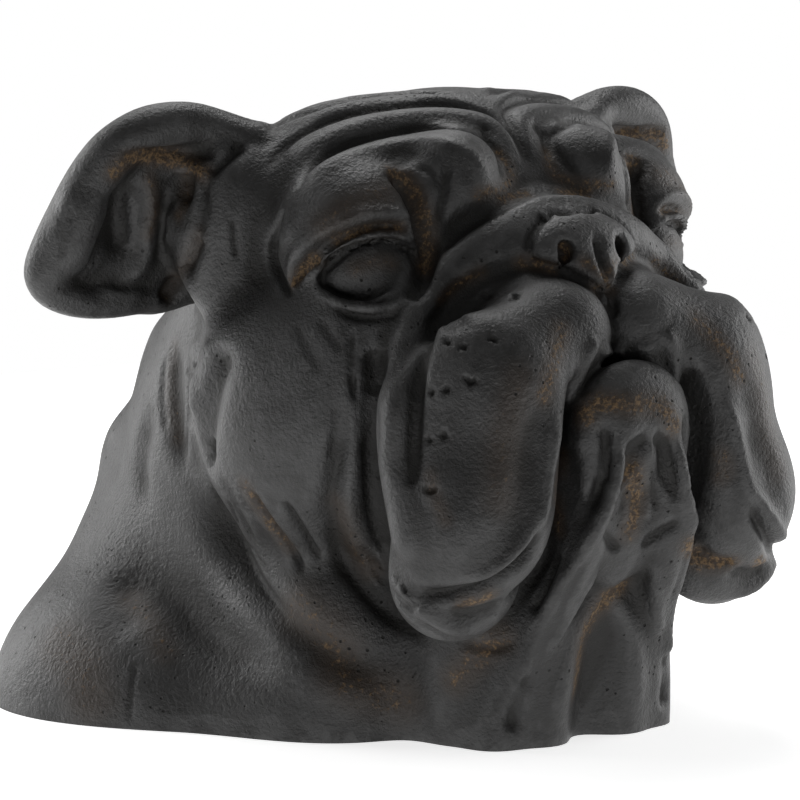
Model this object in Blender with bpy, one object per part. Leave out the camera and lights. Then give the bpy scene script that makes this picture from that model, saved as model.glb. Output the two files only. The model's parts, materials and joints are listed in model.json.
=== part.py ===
"""A bulldog garden statue's head, neck and shoulders as one cast solid, cut flat below.

The form is modelled as clay. Rounded masses and ropes of clay are pressed together as a distance field,
the field is skinned with a mesh, and folds are then pushed into the skin along drawn lines. The forms
are laid out in figure units, which are shares of the bust's height. The dog faces -Y.
"""

import math
from collections import namedtuple

import bmesh
import bpy
import numpy as np
from mathutils import Matrix, Vector
from mathutils.bvhtree import BVHTree

BUST_HEIGHT = 0.261

# The bust's height in figure units, from the cut under the chest to the top of the ears.
FIGURE_HEIGHT = 261.0
NOSE_ABOVE_CUT = 200.0
CLAY_BELOW_CUT = 12.0
UNIT = BUST_HEIGHT / FIGURE_HEIGHT

GAP = 2.4
TRIANGLES = 9200

NODE = "bulldog_bust"
CAST_STONE = (0.045, 0.045, 0.048, 1.0)
CAST_ROUGHNESS = 0.55

# The three-quarter drawing that the folds are laid out on, seen from the dog's front right. A drawing
# step is in figure units at the depth of the nose.
DRAWING_SIZE = 800
DRAWING_STEP = 0.4
DRAWING_NOSE = (595, 248)
SIGHT_TURN = math.radians(38)
SIGHT_FALL = math.radians(7)
SIGHT_DISTANCE = 1600.0

# Sight lines of the drawing. In figure units x is out to the dog's right, y forward and z up.
ACROSS = np.array([-math.cos(SIGHT_TURN), math.sin(SIGHT_TURN), 0])
LEVEL = np.array([math.sin(SIGHT_TURN), math.cos(SIGHT_TURN), 0])
TOWARDS = LEVEL * math.cos(SIGHT_FALL) + np.array([0, 0, math.sin(SIGHT_FALL)])
UPWARDS = np.array([0, 0, math.cos(SIGHT_FALL)]) - LEVEL * math.sin(SIGHT_FALL)
HALF_DRAWING = DRAWING_SIZE / 2
EYE = (TOWARDS * SIGHT_DISTANCE - ACROSS * (DRAWING_NOSE[0] - HALF_DRAWING) * DRAWING_STEP
       - UPWARDS * (HALF_DRAWING - DRAWING_NOSE[1]) * DRAWING_STEP)


def sight(drawn):
    """Directions from the eye through drawn points."""
    drawn = np.asarray(drawn, float)
    u = (drawn[:, :1] - HALF_DRAWING) * DRAWING_STEP
    v = (HALF_DRAWING - drawn[:, 1:2]) * DRAWING_STEP
    way = u * ACROSS + v * UPWARDS - TOWARDS * SIGHT_DISTANCE
    return way / np.linalg.norm(way, axis=1, keepdims=True)


def on_plane(drawn, point, normal, gap):
    """Where sight lines through a smooth drawn line meet a plane."""
    way = sight(smooth_line(drawn, gap / DRAWING_STEP))
    return EYE + way * (((point - EYE) @ normal) / (way @ normal))[:, None]


def facing(tilt):
    """Axes of a form that faces the drawing's viewer, tilted by degrees in the drawing."""
    a = math.radians(tilt)
    return np.stack([ACROSS * math.cos(a) + UPWARDS * math.sin(a),
                     UPWARDS * math.cos(a) - ACROSS * math.sin(a), TOWARDS], axis=1)


def turned(angles):
    """Axes of a form that is turned by degrees about x, then y, then z."""
    a, b, c = (math.radians(v) for v in angles)
    about_x = np.array([[1, 0, 0], [0, math.cos(a), -math.sin(a)], [0, math.sin(a), math.cos(a)]])
    about_y = np.array([[math.cos(b), 0, math.sin(b)], [0, 1, 0], [-math.sin(b), 0, math.cos(b)]])
    about_z = np.array([[math.cos(c), -math.sin(c), 0], [math.sin(c), math.cos(c), 0], [0, 0, 1]])
    return about_z @ about_y @ about_x


def smooth_line(points, gap):
    """Points about a gap apart on a Catmull-Rom curve through the given ones."""
    p = np.asarray(points, float)
    p = np.vstack([2 * p[0] - p[1], p, 2 * p[-1] - p[-2]])
    made = []
    for a, b, c, d in zip(p[:-3], p[1:-2], p[2:-1], p[3:]):
        steps = max(2, int(np.linalg.norm(c - b) / gap) + 1)
        t = np.linspace(0, 1, steps, endpoint=False)[:, None]
        bend = (2 * a - 5 * b + 4 * c - d) * t ** 2 + (3 * b - a - 3 * c + d) * t ** 3
        made.append(0.5 * (2 * b + (c - a) * t + bend))
    return np.vstack(made + [p[-2:-1]])


def softened(values, times=4):
    """Rows averaged with their neighbours, with the end rows kept."""
    values = values.copy()
    for _ in range(times):
        values[1:-1] = (values[:-2] + 2 * values[1:-1] + values[2:]) / 4
    return values


def taper(count, start, middle, end, peak=0.5):
    """Values that swell from start to middle at the peak and fall to end."""
    t = np.linspace(0, 1, count)
    up = start + (middle - start) * np.sin(np.clip(t / peak, 0, 1) * math.pi / 2)
    down = end + (middle - end) * np.sin(np.clip((1 - t) / (1 - peak), 0, 1) * math.pi / 2)
    return np.where(t < peak, up, down)


def smooth_min(a, b, blend):
    share = np.clip(0.5 + 0.5 * (b - a) / blend, 0, 1)
    return b + (a - b) * share - blend * share * (1 - share)


class Form:
    """A form of clay with a box round what it reaches, pressed on with a blend, or cut away."""

    def reach(self, low, high, blend, cut):
        margin = blend + 12
        self.low, self.high = low - margin, high + margin
        self.blend, self.cut = blend, cut

    def near(self, p):
        return np.nonzero(((p > self.low) & (p < self.high)).all(axis=1))[0]


class Lump(Form):
    """An ellipsoid of clay."""

    def __init__(self, centre, radii, turn=(0, 0, 0), blend=12, cut=False, axes=None):
        self.centre = np.array(centre, float)
        self.radii = np.array(radii, float)
        self.axes = turned(turn) if axes is None else axes
        self.reach(self.centre - max(radii), self.centre + max(radii), blend, cut)

    def distance(self, p):
        q = (p - self.centre) @ self.axes
        a = np.sqrt(((q / self.radii) ** 2).sum(axis=1)) + 1e-9
        b = np.sqrt(((q / self.radii ** 2) ** 2).sum(axis=1)) + 1e-9
        return a * (a - 1) / b


class Rope(Form):
    """A rope of clay laid along a smooth line, as a dense string of beads."""

    def __init__(self, points, radii, blend=4, cut=False):
        self.points, self.radii = points, radii
        self.reach(points.min(axis=0) - max(radii), points.max(axis=0) + max(radii), blend, cut)

    def distance(self, p):
        best = np.full(len(p), 1e3)
        for centre, radius in zip(self.points, self.radii):
            best = np.minimum(best, np.sqrt(((p - centre) ** 2).sum(axis=1)) - radius)
        return best


class Leaf(Form):
    """A plate of clay with a drawn outline and a round edge."""

    def __init__(self, outline, origin, axes, thick, blend):
        self.origin, self.axes, self.thick = origin, axes, thick
        self.outline = ((outline - origin) @ axes)[:, :2]
        self.reach(outline.min(axis=0) - thick, outline.max(axis=0) + thick, blend, False)

    def distance(self, p):
        x, y, rise = ((p - self.origin) @ self.axes).T
        best = np.full(len(p), 1e6)
        inside = np.zeros(len(p), bool)
        for (ax, ay), (bx, by) in zip(self.outline, np.roll(self.outline, -1, axis=0)):
            ex, ey = bx - ax, by - ay
            t = np.clip(((x - ax) * ex + (y - ay) * ey) / (ex * ex + ey * ey + 1e-9), 0, 1)
            best = np.minimum(best, (x - ax - t * ex) ** 2 + (y - ay - t * ey) ** 2)
            inside ^= ((ay > y) != (by > y)) & (x < ex * (y - ay) / (ey + 1e-12) + ax)
        edge = np.sqrt(best) * np.where(inside, -1, 1)
        return np.hypot(np.maximum(edge + self.thick, 0), rise) - self.thick


class Clay:
    """Forms pressed together in order, each of them on both sides of the figure's middle plane."""

    def __init__(self, floor):
        self.forms = []
        self.floor = floor

    def lump(self, *size, **press):
        self.forms.append(Lump(*size, **press))

    def rope(self, *size, **press):
        self.forms.append(Rope(*size, **press))

    def leaf(self, *size, **press):
        self.forms.append(Leaf(*size, **press))

    def field(self, points):
        """Distance to the surface, negative inside the clay."""
        p = np.column_stack([np.abs(points[:, 0]), points[:, 1:]])
        d = np.full(len(p), 60.0)
        for form in self.forms:
            near = form.near(p)
            if not len(near):
                continue
            e = form.distance(p[near])
            if form.cut:
                d[near] = -smooth_min(-d[near], e, form.blend)
            else:
                d[near] = smooth_min(d[near], e, form.blend)
        return np.maximum(d, self.floor - p[:, 2])

    def slope(self, points, reach=0.5):
        """Unit normals of the field."""
        steps = np.eye(3) * reach
        g = np.stack([self.field(points + step) - self.field(points - step) for step in steps], axis=1)
        return g / (np.linalg.norm(g, axis=1, keepdims=True) + 1e-9)

    def met(self, drawn):
        """Where sight lines through drawn points first meet the clay."""
        way = sight(drawn)
        along = np.full(len(way), SIGHT_DISTANCE - 260.0)
        for _ in range(90):
            along += np.clip(self.field(EYE + way * along[:, None]), -3, 20) * 0.8
        return EYE + way * along[:, None]

    def drawn_rope(self, drawn, radii, sunk=0.5, blend=4, cut=False, gap=2.5):
        """Lays a rope on the clay along a drawn line. radii are those at its start, middle and end."""
        points = self.met(smooth_line(drawn, gap / DRAWING_STEP))
        radius = taper(len(points), *radii)
        points = softened(points - self.slope(points) * (radius * sunk)[:, None])
        self.rope(points, radius, blend=blend, cut=cut)


# Skinning the clay

CORNERS = [(i, j, k) for i in (0, 1) for j in (0, 1) for k in (0, 1)]
BLOCK = 4


def pieces(corners):
    """How many pieces a cell's corners make when they are joined along the cell's edges."""
    left = set(corners)
    count = 0
    while left:
        count += 1
        reached = [left.pop()]
        while reached:
            one = np.array(reached.pop())
            joined = {other for other in left if np.abs(one - other).sum() == 1}
            left -= joined
            reached += joined
    return count


def is_tied(number):
    """Whether clay or air makes two pieces in a cell. Each corner with clay in it is a bit of the number."""
    clay = [corner for bit, corner in enumerate(CORNERS) if number >> bit & 1]
    return max(pieces(clay), pieces(set(CORNERS) - set(clay))) > 1


def untied(grid, gap):
    """Fills grid points until the skin can't touch itself inside a cell."""
    tied = np.array([is_tied(number) for number in range(2 ** len(CORNERS))])
    n = np.array(grid.shape) - 1
    while True:
        inside = (grid < 0).astype(np.int16)
        numbers = sum(inside[i:n[0] + i, j:n[1] + j, k:n[2] + k] << bit
                      for bit, (i, j, k) in enumerate(CORNERS))
        cells = np.argwhere(tied[numbers])
        if not len(cells):
            return grid
        corners = cells[:, None] + np.array(CORNERS)
        values = grid[tuple(corners.reshape(-1, 3).T)].reshape(len(cells), -1)
        values = np.where(values < 0, np.inf, values)
        filled = corners[values < values.min(axis=1, keepdims=True) + gap / 1000]
        grid[tuple(filled.T)] = -gap / 100


def sampled(clay, low, high, gap):
    """The field on a grid and the grid's first point, worked out fully only in blocks near the surface."""
    blocks = np.ceil((high - low) / (gap * BLOCK)).astype(int)
    blocks[0] += blocks[0] % 2
    shape = blocks * BLOCK
    start = low - np.array([0, 0, gap * 1.5])
    start[0] = (1 - shape[0]) / 2 * gap
    half = blocks[0] // 2
    corners = np.stack(np.meshgrid(*[np.arange(n) for n in (half, blocks[1], blocks[2])], indexing="ij"), -1)
    corners = corners.reshape(-1, 3) + [half, 0, 0]
    rough = clay.field(start + (corners * BLOCK + (BLOCK - 1) / 2) * gap)
    grid = np.empty(tuple(shape), np.float32)
    upper = grid[shape[0] // 2:].reshape(half, BLOCK, blocks[1], BLOCK, blocks[2], BLOCK)
    upper[:] = rough.reshape(half, blocks[1], blocks[2])[:, None, :, None, :, None]
    chosen = corners[np.abs(rough) < gap * BLOCK + 3]
    inner = np.stack(np.meshgrid(*[np.arange(BLOCK)] * 3, indexing="ij"), -1).reshape(-1, 3)
    index = (chosen[:, None] * BLOCK + inner).reshape(-1, 3)
    grid[tuple(index.T)] = clay.field(start + index * gap)
    grid[:shape[0] // 2] = grid[shape[0] // 2:][::-1]
    return grid, start


def skinned(grid, start, gap):
    """A point in each cell that the surface crosses, and a quad round each grid edge that it crosses."""
    inside = grid < 0
    n = np.array(grid.shape) - 1
    count = sum(inside[i:n[0] + i, j:n[1] + j, k:n[2] + k].astype(np.int8) for i, j, k in CORNERS)
    cells = np.argwhere((count > 0) & (count < 8))
    number = np.full(tuple(n), -1, np.int32)
    number[tuple(cells.T)] = np.arange(len(cells))
    total, hits = np.zeros((len(cells), 3)), np.zeros(len(cells))
    for corner in CORNERS:
        for axis in range(3):
            if corner[axis]:
                continue
            step = np.eye(3, dtype=int)[axis]
            one, two = grid[tuple((cells + corner).T)], grid[tuple((cells + corner + step).T)]
            cross = (one < 0) != (two < 0)
            share = np.where(cross, one / np.where(cross, one - two, 1), 0)
            total += (np.array(corner) + share[:, None] * step) * cross[:, None]
            hits += cross
    points = start + (cells + total / hits[:, None]) * gap
    return points, np.vstack([quads_across(axis, inside, number) for axis in range(3)])


def quads_across(axis, inside, number):
    """Quads round the grid edges along one axis, each turned to face out of the clay."""
    one, two = np.roll(np.eye(3, dtype=int), -1 - axis, axis=0)[:2]
    ahead = np.roll(inside, -1, axis=axis)
    edges = np.argwhere(inside != ahead)
    held = (edges > 0).all(axis=1) | ((edges > 0) | np.eye(3, dtype=bool)[axis]).all(axis=1)
    edges = edges[held & (edges < np.array(number.shape)).all(axis=1)]
    quads = np.stack([number[tuple((edges - c).T)] for c in (one + two, two, 0 * one, one)], axis=1)
    outward = ~inside[tuple(edges.T)]
    quads[outward] = quads[outward][:, ::-1]
    return quads


# A fold drawn on the skin: pressed in by depth, or raised when depth is negative. left and right swell
# the skin beside it, and it dies away over the share of its length that ends gives.
Fold = namedtuple("Fold", "line width depth left right ends", defaults=(0.0, 0.0, 0.2))


class Skin:
    """The skinned clay. Folds push it in and pull it out, the same on both sides of the head."""

    def __init__(self, points, quads):
        self.points, self.quads = points, quads
        self.relax()
        self.settle()

    def relax(self, rounds=2):
        """Smooths away the grid's steps: each round pulls points to their neighbours and pushes them back."""
        near = np.vstack([self.quads, self.quads])
        far = np.vstack([np.roll(self.quads, 1, axis=1), np.roll(self.quads, -1, axis=1)]).ravel()
        near = near.ravel()
        count = np.bincount(near)[:, None]
        for share in (0.5, -0.52) * rounds:
            total = np.stack([np.bincount(near, side[far]) for side in self.points.T], axis=1)
            self.points += (total / count - self.points) * share

    def settle(self):
        """Works out the normals, and the tree that lines are thrown on, from the skin as it is now."""
        a, b, c, d = (self.points[self.quads[:, i]] for i in range(4))
        face = np.cross(c - a, d - b)
        corners = self.quads.T.reshape(-1)
        sums = [np.bincount(corners, np.tile(side, 4), len(self.points)) for side in face.T]
        total = np.stack(sums, axis=1)
        self.normals = total / (np.linalg.norm(total, axis=1, keepdims=True) + 1e-9)
        self.tree = BVHTree.FromPolygons(self.points.tolist(), self.quads.tolist())

    def fold(self, fold):
        """Throws the fold's drawn line on the skin, and presses each run of it that doesn't jump."""
        line = sight(smooth_line(fold.line, 1.2 / DRAWING_STEP))
        hits = [self.tree.ray_cast(Vector(EYE), Vector(way)) for way in line]
        points = np.array([hit[0] for hit in hits if hit[0]])
        normals = np.array([hit[1] for hit in hits if hit[0]])
        jumps = np.nonzero(np.linalg.norm(np.diff(points, axis=0), axis=1) > 7)[0] + 1
        for run, out in zip(np.split(points, jumps), np.split(normals, jumps)):
            if len(run) < 5:
                continue
            out[:, 0] *= np.sign(run[:, 0])
            run[:, 0] = np.abs(run[:, 0])
            self.press(softened(run), softened(out), fold)

    def press(self, line, out, fold):
        """Moves the skin near a line that lies on it. out are the skin's normals along the line."""
        beside = np.cross(np.gradient(line, axis=0), out)
        beside /= np.linalg.norm(beside, axis=1, keepdims=True) + 1e-9
        t = np.linspace(0, 1, len(line))
        fade = np.clip(np.minimum(t, 1 - t) / fold.ends, 0, 1)
        fade = fade * fade * (3 - 2 * fade)
        side = np.where(self.points[:, :1] < 0, -1.0, 1.0) * [1, 0, 0] + [0, 1, 1]
        folded = self.points * side
        margin = fold.width * 4.5
        beyond = np.maximum(line.min(axis=0) - folded, folded - line.max(axis=0)).max(axis=1)
        near = np.nonzero(beyond < margin)[0]
        p, facing_out = folded[near], self.normals[near] * side[near]
        gap = np.full(len(p), 1e9)
        best = np.zeros(len(p), int)
        for i, point in enumerate(line):
            square = ((p - point) ** 2).sum(axis=1)
            closer = square < gap
            gap[closer], best[closer] = square[closer], i
        offset = p - line[best]
        across = (offset * beside[best]).sum(axis=1)
        rise = (offset * out[best]).sum(axis=1)
        flat = np.maximum(gap - rise ** 2, 0)
        past = np.exp(-np.maximum(flat - across ** 2, 0) / fold.width ** 2)
        held = np.clip((facing_out * out[best]).sum(axis=1) * 2, 0, 1)
        held *= np.exp(-(rise / (fold.width * 3 + 4)) ** 2)
        push = -fold.depth * np.exp(-flat / fold.width ** 2)
        for swell, way in ((fold.left, 1), (fold.right, -1)):
            push += swell * np.exp(-((across / fold.width + 1.9 * way) / 1.3) ** 2) * past
        self.points[near] += self.normals[near] * (push * fade[best] * held)[:, None]


# The masses. Forms with x at nought are on the middle plane, and the others come in pairs.


def neck_and_shoulders(clay):
    # The neck leans back from the skull down to the withers
    clay.lump((0, -146, -62), (95, 80, 98), turn=(-22, 0, 0), blend=18)
    clay.lump((0, -160, -108), (102, 98, 86), turn=(-28, 0, 0), blend=22)
    clay.lump((0, -176, -204), (144, 124, 90), turn=(-8, 0, 0), blend=32)
    clay.lump((90, -188, -204), (66, 64, 60), blend=22)
    clay.lump((64, -90, -188), (38, 40, 80), blend=30)
    # The withers, and soft rolls across the nape
    clay.lump((0, -206, -146), (94, 66, 40), turn=(-30, 0, 0), blend=34)
    clay.lump((0, -208, -54), (64, 22, 17), turn=(-30, 0, 0), blend=20)
    clay.lump((0, -228, -98), (76, 22, 17), turn=(-30, 0, 0), blend=22)


def skull(clay):
    clay.lump((0, -95, 1), (94, 62, 60), blend=14)
    clay.lump((50, -104, 7), (44, 46, 48), blend=14)
    # Brows
    clay.lump((71, -65, 8), (32, 27, 28), turn=(0, 0, -20), blend=8)
    clay.lump((33, -50, 22), (20, 20, 24), blend=10)
    # Cheeks
    clay.lump((75, -88, -66), (47, 52, 60), blend=16)
    clay.lump((64, -54, -56), (37, 36, 62), blend=18)


def muzzle(clay):
    clay.lump((0, -32, -30), (60, 34, 46), blend=10)
    # Jaw and throat
    clay.lump((0, -60, -95), (72, 70, 52), blend=14)
    clay.lump((0, -36, -165), (60, 44, 110), blend=18)
    # Flews, the upper lips that hang at each side of the chin
    clay.lump((25, -3, -33), (25, 20, 22), blend=6)
    clay.lump((20, 5, -33), (19, 17, 19), blend=8)
    clay.lump((47, 5, -49), (26, 21, 29), turn=(0, 0, -30), blend=12)
    clay.lump((66, 4.5, -75), (34, 21, 52), turn=(0, 0, -42), blend=12)
    clay.lump((71, 9, -104), (29, 23, 30), turn=(0, 0, -30), blend=12)
    # The rim of the lower lip, under the flew
    clay.lump((69, -3, -124), (29, 21, 28), blend=8)


def chin(clay):
    # The mouth's line, an arch that runs over the chin and down each side of it
    arch = smooth_line([(-8, 27, -38), (0, 27, -38), (12, 27, -41), (23, 26, -50), (31, 24, -66),
                        (34, 20, -88), (35, 12, -114)], 2)
    clay.rope(arch, taper(len(arch), 3, 6, 5), blend=4, cut=True)
    clay.lump((32, 20, -88), (5, 19, 38), turn=(0, 0, -12), blend=6, cut=True)
    clay.lump((0, 22, -68), (29, 13, 25), blend=3)
    clay.lump((0, 12, -96), (29, 14, 38), blend=14)
    # The dewlap hangs from the chin in one cord at each side of the middle
    cord = smooth_line([(11, 26, -66), (17, 25, -90), (22, 22, -112), (25, 15, -128), (29, 3, -148),
                        (32, -3, -160), (38, -9, -181), (44, -15, -215)], 2.5)
    clay.rope(cord, taper(len(cord), 5, 8, 8, peak=0.6), blend=10)
    # The hollow between the cords
    clay.lump((0, 8, -192), (9, 15, 44), turn=(-14, 0, 0), blend=20, cut=True)


def nose(clay):
    clay.lump((0, -14, -3), (31, 17, 18), turn=(20, 0, 0), blend=2)
    clay.lump((0, -6, -15), (15, 15, 15), blend=3)


def eyes(clay):
    """The lids swell, then the almond is cut into them and the ball is set in it."""
    clay.lump((73, -55, -9), (21, 20, 19), blend=4)
    clay.lump((80, -42.6, -7.8), (22, 13, 14), axes=facing(10), blend=1.5, cut=True)
    clay.lump((70, -57, -10.5), (22, 21, 20), blend=1)


# The ear, drawn on a plane through three points of it, and its folded front rim

EAR_ROOT = np.array([78.0, -120.0, 43.0])
EAR_LOBE = np.array([98.0, -150.0, -28.0])
EAR_TIP = np.array([165.0, -157.0, -15.0])
EAR_THICKNESS = 5.5
EAR_OUTLINE = [(262, 124), (215, 108), (180, 104), (140, 112), (107, 136), (82, 170), (62, 208), (42, 246),
               (30, 276), (40, 300), (80, 313), (120, 312), (160, 312), (205, 290), (240, 230), (275, 160),
               (262, 124)]
EAR_RIM = [(258, 136), (215, 128), (180, 126), (146, 134), (116, 154), (92, 184), (72, 220), (56, 252),
           (48, 276), (58, 292), (84, 302), (120, 304), (152, 300)]


def ears(clay):
    # The root of the ear runs into the temple
    clay.lump((97, -120, 8), (20, 26, 38), blend=16)
    out = np.cross(EAR_TIP - EAR_ROOT, EAR_LOBE - EAR_ROOT)
    out /= np.linalg.norm(out)
    outline = on_plane(EAR_OUTLINE, EAR_ROOT, out, gap=3.2)[:-1]
    along = (EAR_TIP - EAR_ROOT) / np.linalg.norm(EAR_TIP - EAR_ROOT)
    axes = np.stack([along, np.cross(out, along), out], axis=1)
    clay.leaf(outline, (EAR_ROOT + EAR_LOBE + EAR_TIP) / 3, axes, EAR_THICKNESS, blend=7)
    clay.drawn_rope(EAR_RIM, (6, 10.5, 5), sunk=0.3, blend=3)


# The roll of skin over the nose and down to the flew, and the creases on each side of it

NOSE_ROLL = [(690, 262), (665, 232), (640, 212), (610, 200), (572, 198), (530, 210), (497, 232), (455, 262),
             (419, 305), (401, 350), (393, 400), (392, 445), (396, 490), (404, 540)]
OUTER_CREASE = [(600, 191), (570, 187), (545, 189), (520, 195), (478, 217), (438, 246), (405, 286),
                (383, 332), (374, 380), (372, 440), (376, 500), (385, 550)]
INNER_CREASE = [(526, 262), (507, 268), (486, 276), (458, 296), (436, 324), (420, 356), (412, 400),
                (410, 440), (412, 478)]


def nose_roll(clay):
    clay.drawn_rope(NOSE_ROLL, (8, 13, 7), sunk=0.5, blend=6)
    clay.drawn_rope(OUTER_CREASE, (2.5, 4.5, 2), sunk=-0.2, blend=5, cut=True)
    clay.drawn_rope(INNER_CREASE, (2.2, 3.2, 0.8), sunk=0.1, blend=5, cut=True)
    # Nostrils
    clay.lump((14.2, 0, 0), (4, 9, 4.3), turn=(10, 0, 0), blend=2, cut=True)


# The folds, each in drawing points

NOSE_FOLDS = [
    # The top of the nose, its foot, the slit below it and the slit of the nostril
    Fold([(600, 211), (570, 210), (545, 216), (531, 235), (527, 258)], 2.4, 3, ends=0.1),
    Fold([(526, 264), (545, 266), (570, 273), (595, 285), (612, 302)], 2.2, 4, ends=0.1),
    Fold([(595, 228), (599, 250), (604, 268), (612, 290), (614, 320)], 1.8, 3, ends=0.15),
    Fold([(564, 252), (563, 262), (562, 271)], 2, 3),
]
FLEW_FOLDS = [
    # The crease under the flew, its rolled inner edge and the hollow beside that
    Fold([(543, 515), (530, 550), (500, 578), (464, 593), (432, 595), (410, 585)], 3, 5, ends=0.25),
    Fold([(598, 336), (578, 378), (560, 420), (549, 470), (542, 515), (522, 545), (492, 570), (455, 584)],
         3.4, -2.5, ends=0.15),
    Fold([(560, 370), (534, 430), (526, 480), (512, 530), (480, 555)], 7, 2.5, ends=0.3),
]
LIP_FOLDS = [
    Fold([(440, 608), (468, 616), (492, 610), (508, 598)], 4.5, 3.5, ends=0.3),
    Fold([(392, 560), (404, 592), (430, 615), (458, 629), (480, 632), (498, 626)], 3.4, -3.2, ends=0.3),
]
EYE_FOLDS = [
    # The crease over the upper lid, the lids' rims, the crease under the lower lid and the inner fold
    Fold([(292, 290), (300, 270), (320, 248), (344, 234), (372, 225), (400, 225), (416, 232)], 2.4, 4, left=2,
         ends=0.15),
    Fold([(302, 282), (318, 268), (340, 253), (370, 243), (398, 242), (414, 250)], 1.8, -1.8, ends=0.15),
    Fold([(316, 283), (332, 299), (360, 308), (394, 305), (414, 294)], 1.8, -1.6, ends=0.15),
    Fold([(326, 298), (345, 312), (368, 319), (402, 312)], 1.8, 1.5),
    Fold([(386, 168), (408, 188), (420, 215), (426, 250), (420, 284), (404, 304)], 4.2, 7, left=1.5,
         ends=0.15),
]
BROW_RIDGES = [
    Fold([(285, 205), (277, 230), (273, 256), (282, 282), (294, 300)], 2, 3),
    # Three ropes of skin over each brow, from the inside out
    Fold([(300, 200), (322, 172), (350, 157), (390, 148), (430, 143), (463, 152), (481, 173), (482, 200)],
         5, -2.6),
    Fold([(275, 190), (300, 156), (345, 131), (395, 118), (445, 115), (488, 123), (510, 143), (516, 178)],
         5, -2),
    Fold([(300, 126), (345, 109), (400, 101), (450, 100), (486, 106)], 4, -1),
]
BROW_CREASES = [
    Fold([(290, 200), (310, 168), (345, 145), (390, 132), (440, 127), (478, 135), (499, 157), (503, 190)],
         2.2, 2.6, ends=0.12),
    Fold([(262, 175), (290, 141), (335, 118), (390, 107), (445, 104), (486, 111), (508, 127), (522, 148),
          (530, 178)], 2.2, 2.2, ends=0.12),
    Fold([(250, 140), (290, 120), (340, 104), (385, 96), (440, 95), (474, 98)], 2.5, 1.2, left=1, right=1),
    Fold([(446, 155), (445, 180), (441, 208), (437, 232)], 2.6, 2.5, ends=0.3),
]
CHEEK_FOLDS = [
    # The temple
    Fold([(262, 190), (252, 225), (252, 262), (258, 295)], 5, 1.2, ends=0.3),
    # Short wrinkles at the back of the cheek
    Fold([(218, 470), (238, 512), (262, 560)], 4, 1.5, ends=0.3),
    Fold([(248, 487), (270, 520), (292, 550), (305, 576)], 1.8, 3, left=0.6, right=0.6),
    Fold([(283, 500), (300, 526), (321, 562)], 1.8, 3, left=0.6, right=0.6),
    # The valley between the cheek and the neck
    Fold([(228, 340), (212, 385), (204, 440), (213, 492), (232, 545), (262, 598), (300, 634), (350, 662),
          (400, 676)], 8, 5, right=1, ends=0.2),
    Fold([(204, 440), (211, 486), (229, 536), (256, 586), (290, 622)], 3, 2.5, ends=0.3),
    # Long folds between the cheek and the flew
    Fold([(352, 325), (351, 360), (354, 400)], 1.6, 1.6),
    Fold([(340, 395), (342, 430), (333, 475), (329, 510), (340, 552), (366, 590), (404, 624), (448, 648)],
         4.5, 4, ends=0.25),
    Fold([(372, 345), (378, 400), (371, 445), (371, 490), (377, 535), (394, 580), (420, 615)], 4, 3.5,
         ends=0.25),
    Fold([(356, 440), (350, 500), (362, 548), (388, 590), (420, 625)], 3, -1.8, ends=0.3),
]
NECK_FOLDS = [
    Fold([(176, 330), (172, 380), (176, 430), (188, 480)], 6, 4, ends=0.3),
    Fold([(196, 340), (196, 400), (190, 470)], 4, -2, ends=0.3),
    # The rolls of the nape
    Fold([(158, 400), (143, 440), (140, 480), (150, 520)], 7, 3, ends=0.35),
    # Where the neck meets the shoulder
    Fold([(112, 520), (140, 566), (190, 612), (250, 655), (310, 690)], 12, 6, ends=0.35),
    Fold([(128, 560), (120, 600), (135, 640)], 9, 3, ends=0.35),
]
CHIN_FOLDS = [
    # The chin's side, the cord of the dewlap and the hollows on each side of it
    Fold([(604, 420), (606, 450), (601, 484), (585, 512)], 3, 3.5),
    Fold([(614, 440), (611, 488), (597, 524), (576, 562), (556, 592), (536, 630), (524, 664), (508, 727)],
         3, -2.5, ends=0.15),
    Fold([(633, 430), (632, 475), (624, 520)], 5, 2, ends=0.3),
    Fold([(656, 425), (664, 455), (672, 500)], 3, 2, ends=0.25),
    Fold([(560, 545), (548, 580), (530, 618)], 3, 2.5),
    Fold([(530, 668), (517, 695), (510, 740)], 4, 3.5, ends=0.25),
    Fold([(620, 575), (597, 595), (573, 635), (562, 690), (560, 740)], 6, -2.5, ends=0.3),
]
EAR_FOLDS = [
    # The deep hollow, the ridge round it, the groove and the pit behind the ridge
    Fold([(130, 176), (121, 205), (119, 235), (127, 266)], 6, 6, ends=0.3),
    Fold([(138, 168), (149, 190), (152, 215), (149, 245), (138, 270), (114, 284)], 4, -3, ends=0.25),
    Fold([(162, 184), (166, 210), (163, 240), (153, 268)], 3, 2.5, ends=0.25),
    Fold([(180, 170), (184, 188), (178, 206)], 5, 5.5, ends=0.3),
    Fold([(100, 190), (86, 225), (80, 262), (84, 286)], 9, -4, ends=0.3),
    # The crease inside the rim, and the crease where the ear meets the temple
    Fold([(118, 160), (142, 153), (180, 152), (226, 157)], 3, 2.5, ends=0.2),
    Fold([(246, 140), (226, 157), (204, 176)], 3, 4),
    Fold([(206, 172), (201, 205), (197, 240)], 3, 2),
    Fold([(198, 232), (184, 268), (162, 304)], 4, 5, ends=0.25),
]


# Each group is thrown on the skin as the groups before it have left it.
FOLDS = [
    NOSE_FOLDS + FLEW_FOLDS,
    LIP_FOLDS + EYE_FOLDS + BROW_RIDGES,
    BROW_CREASES + CHEEK_FOLDS + NECK_FOLDS + CHIN_FOLDS,
    EAR_FOLDS,
]

# The box that the figure lies in, in figure units
LOWEST = np.array([-186.0, -312.0, -NOSE_ABOVE_CUT - CLAY_BELOW_CUT])
HIGHEST = np.array([186.0, 48.0, 76.0])


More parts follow.
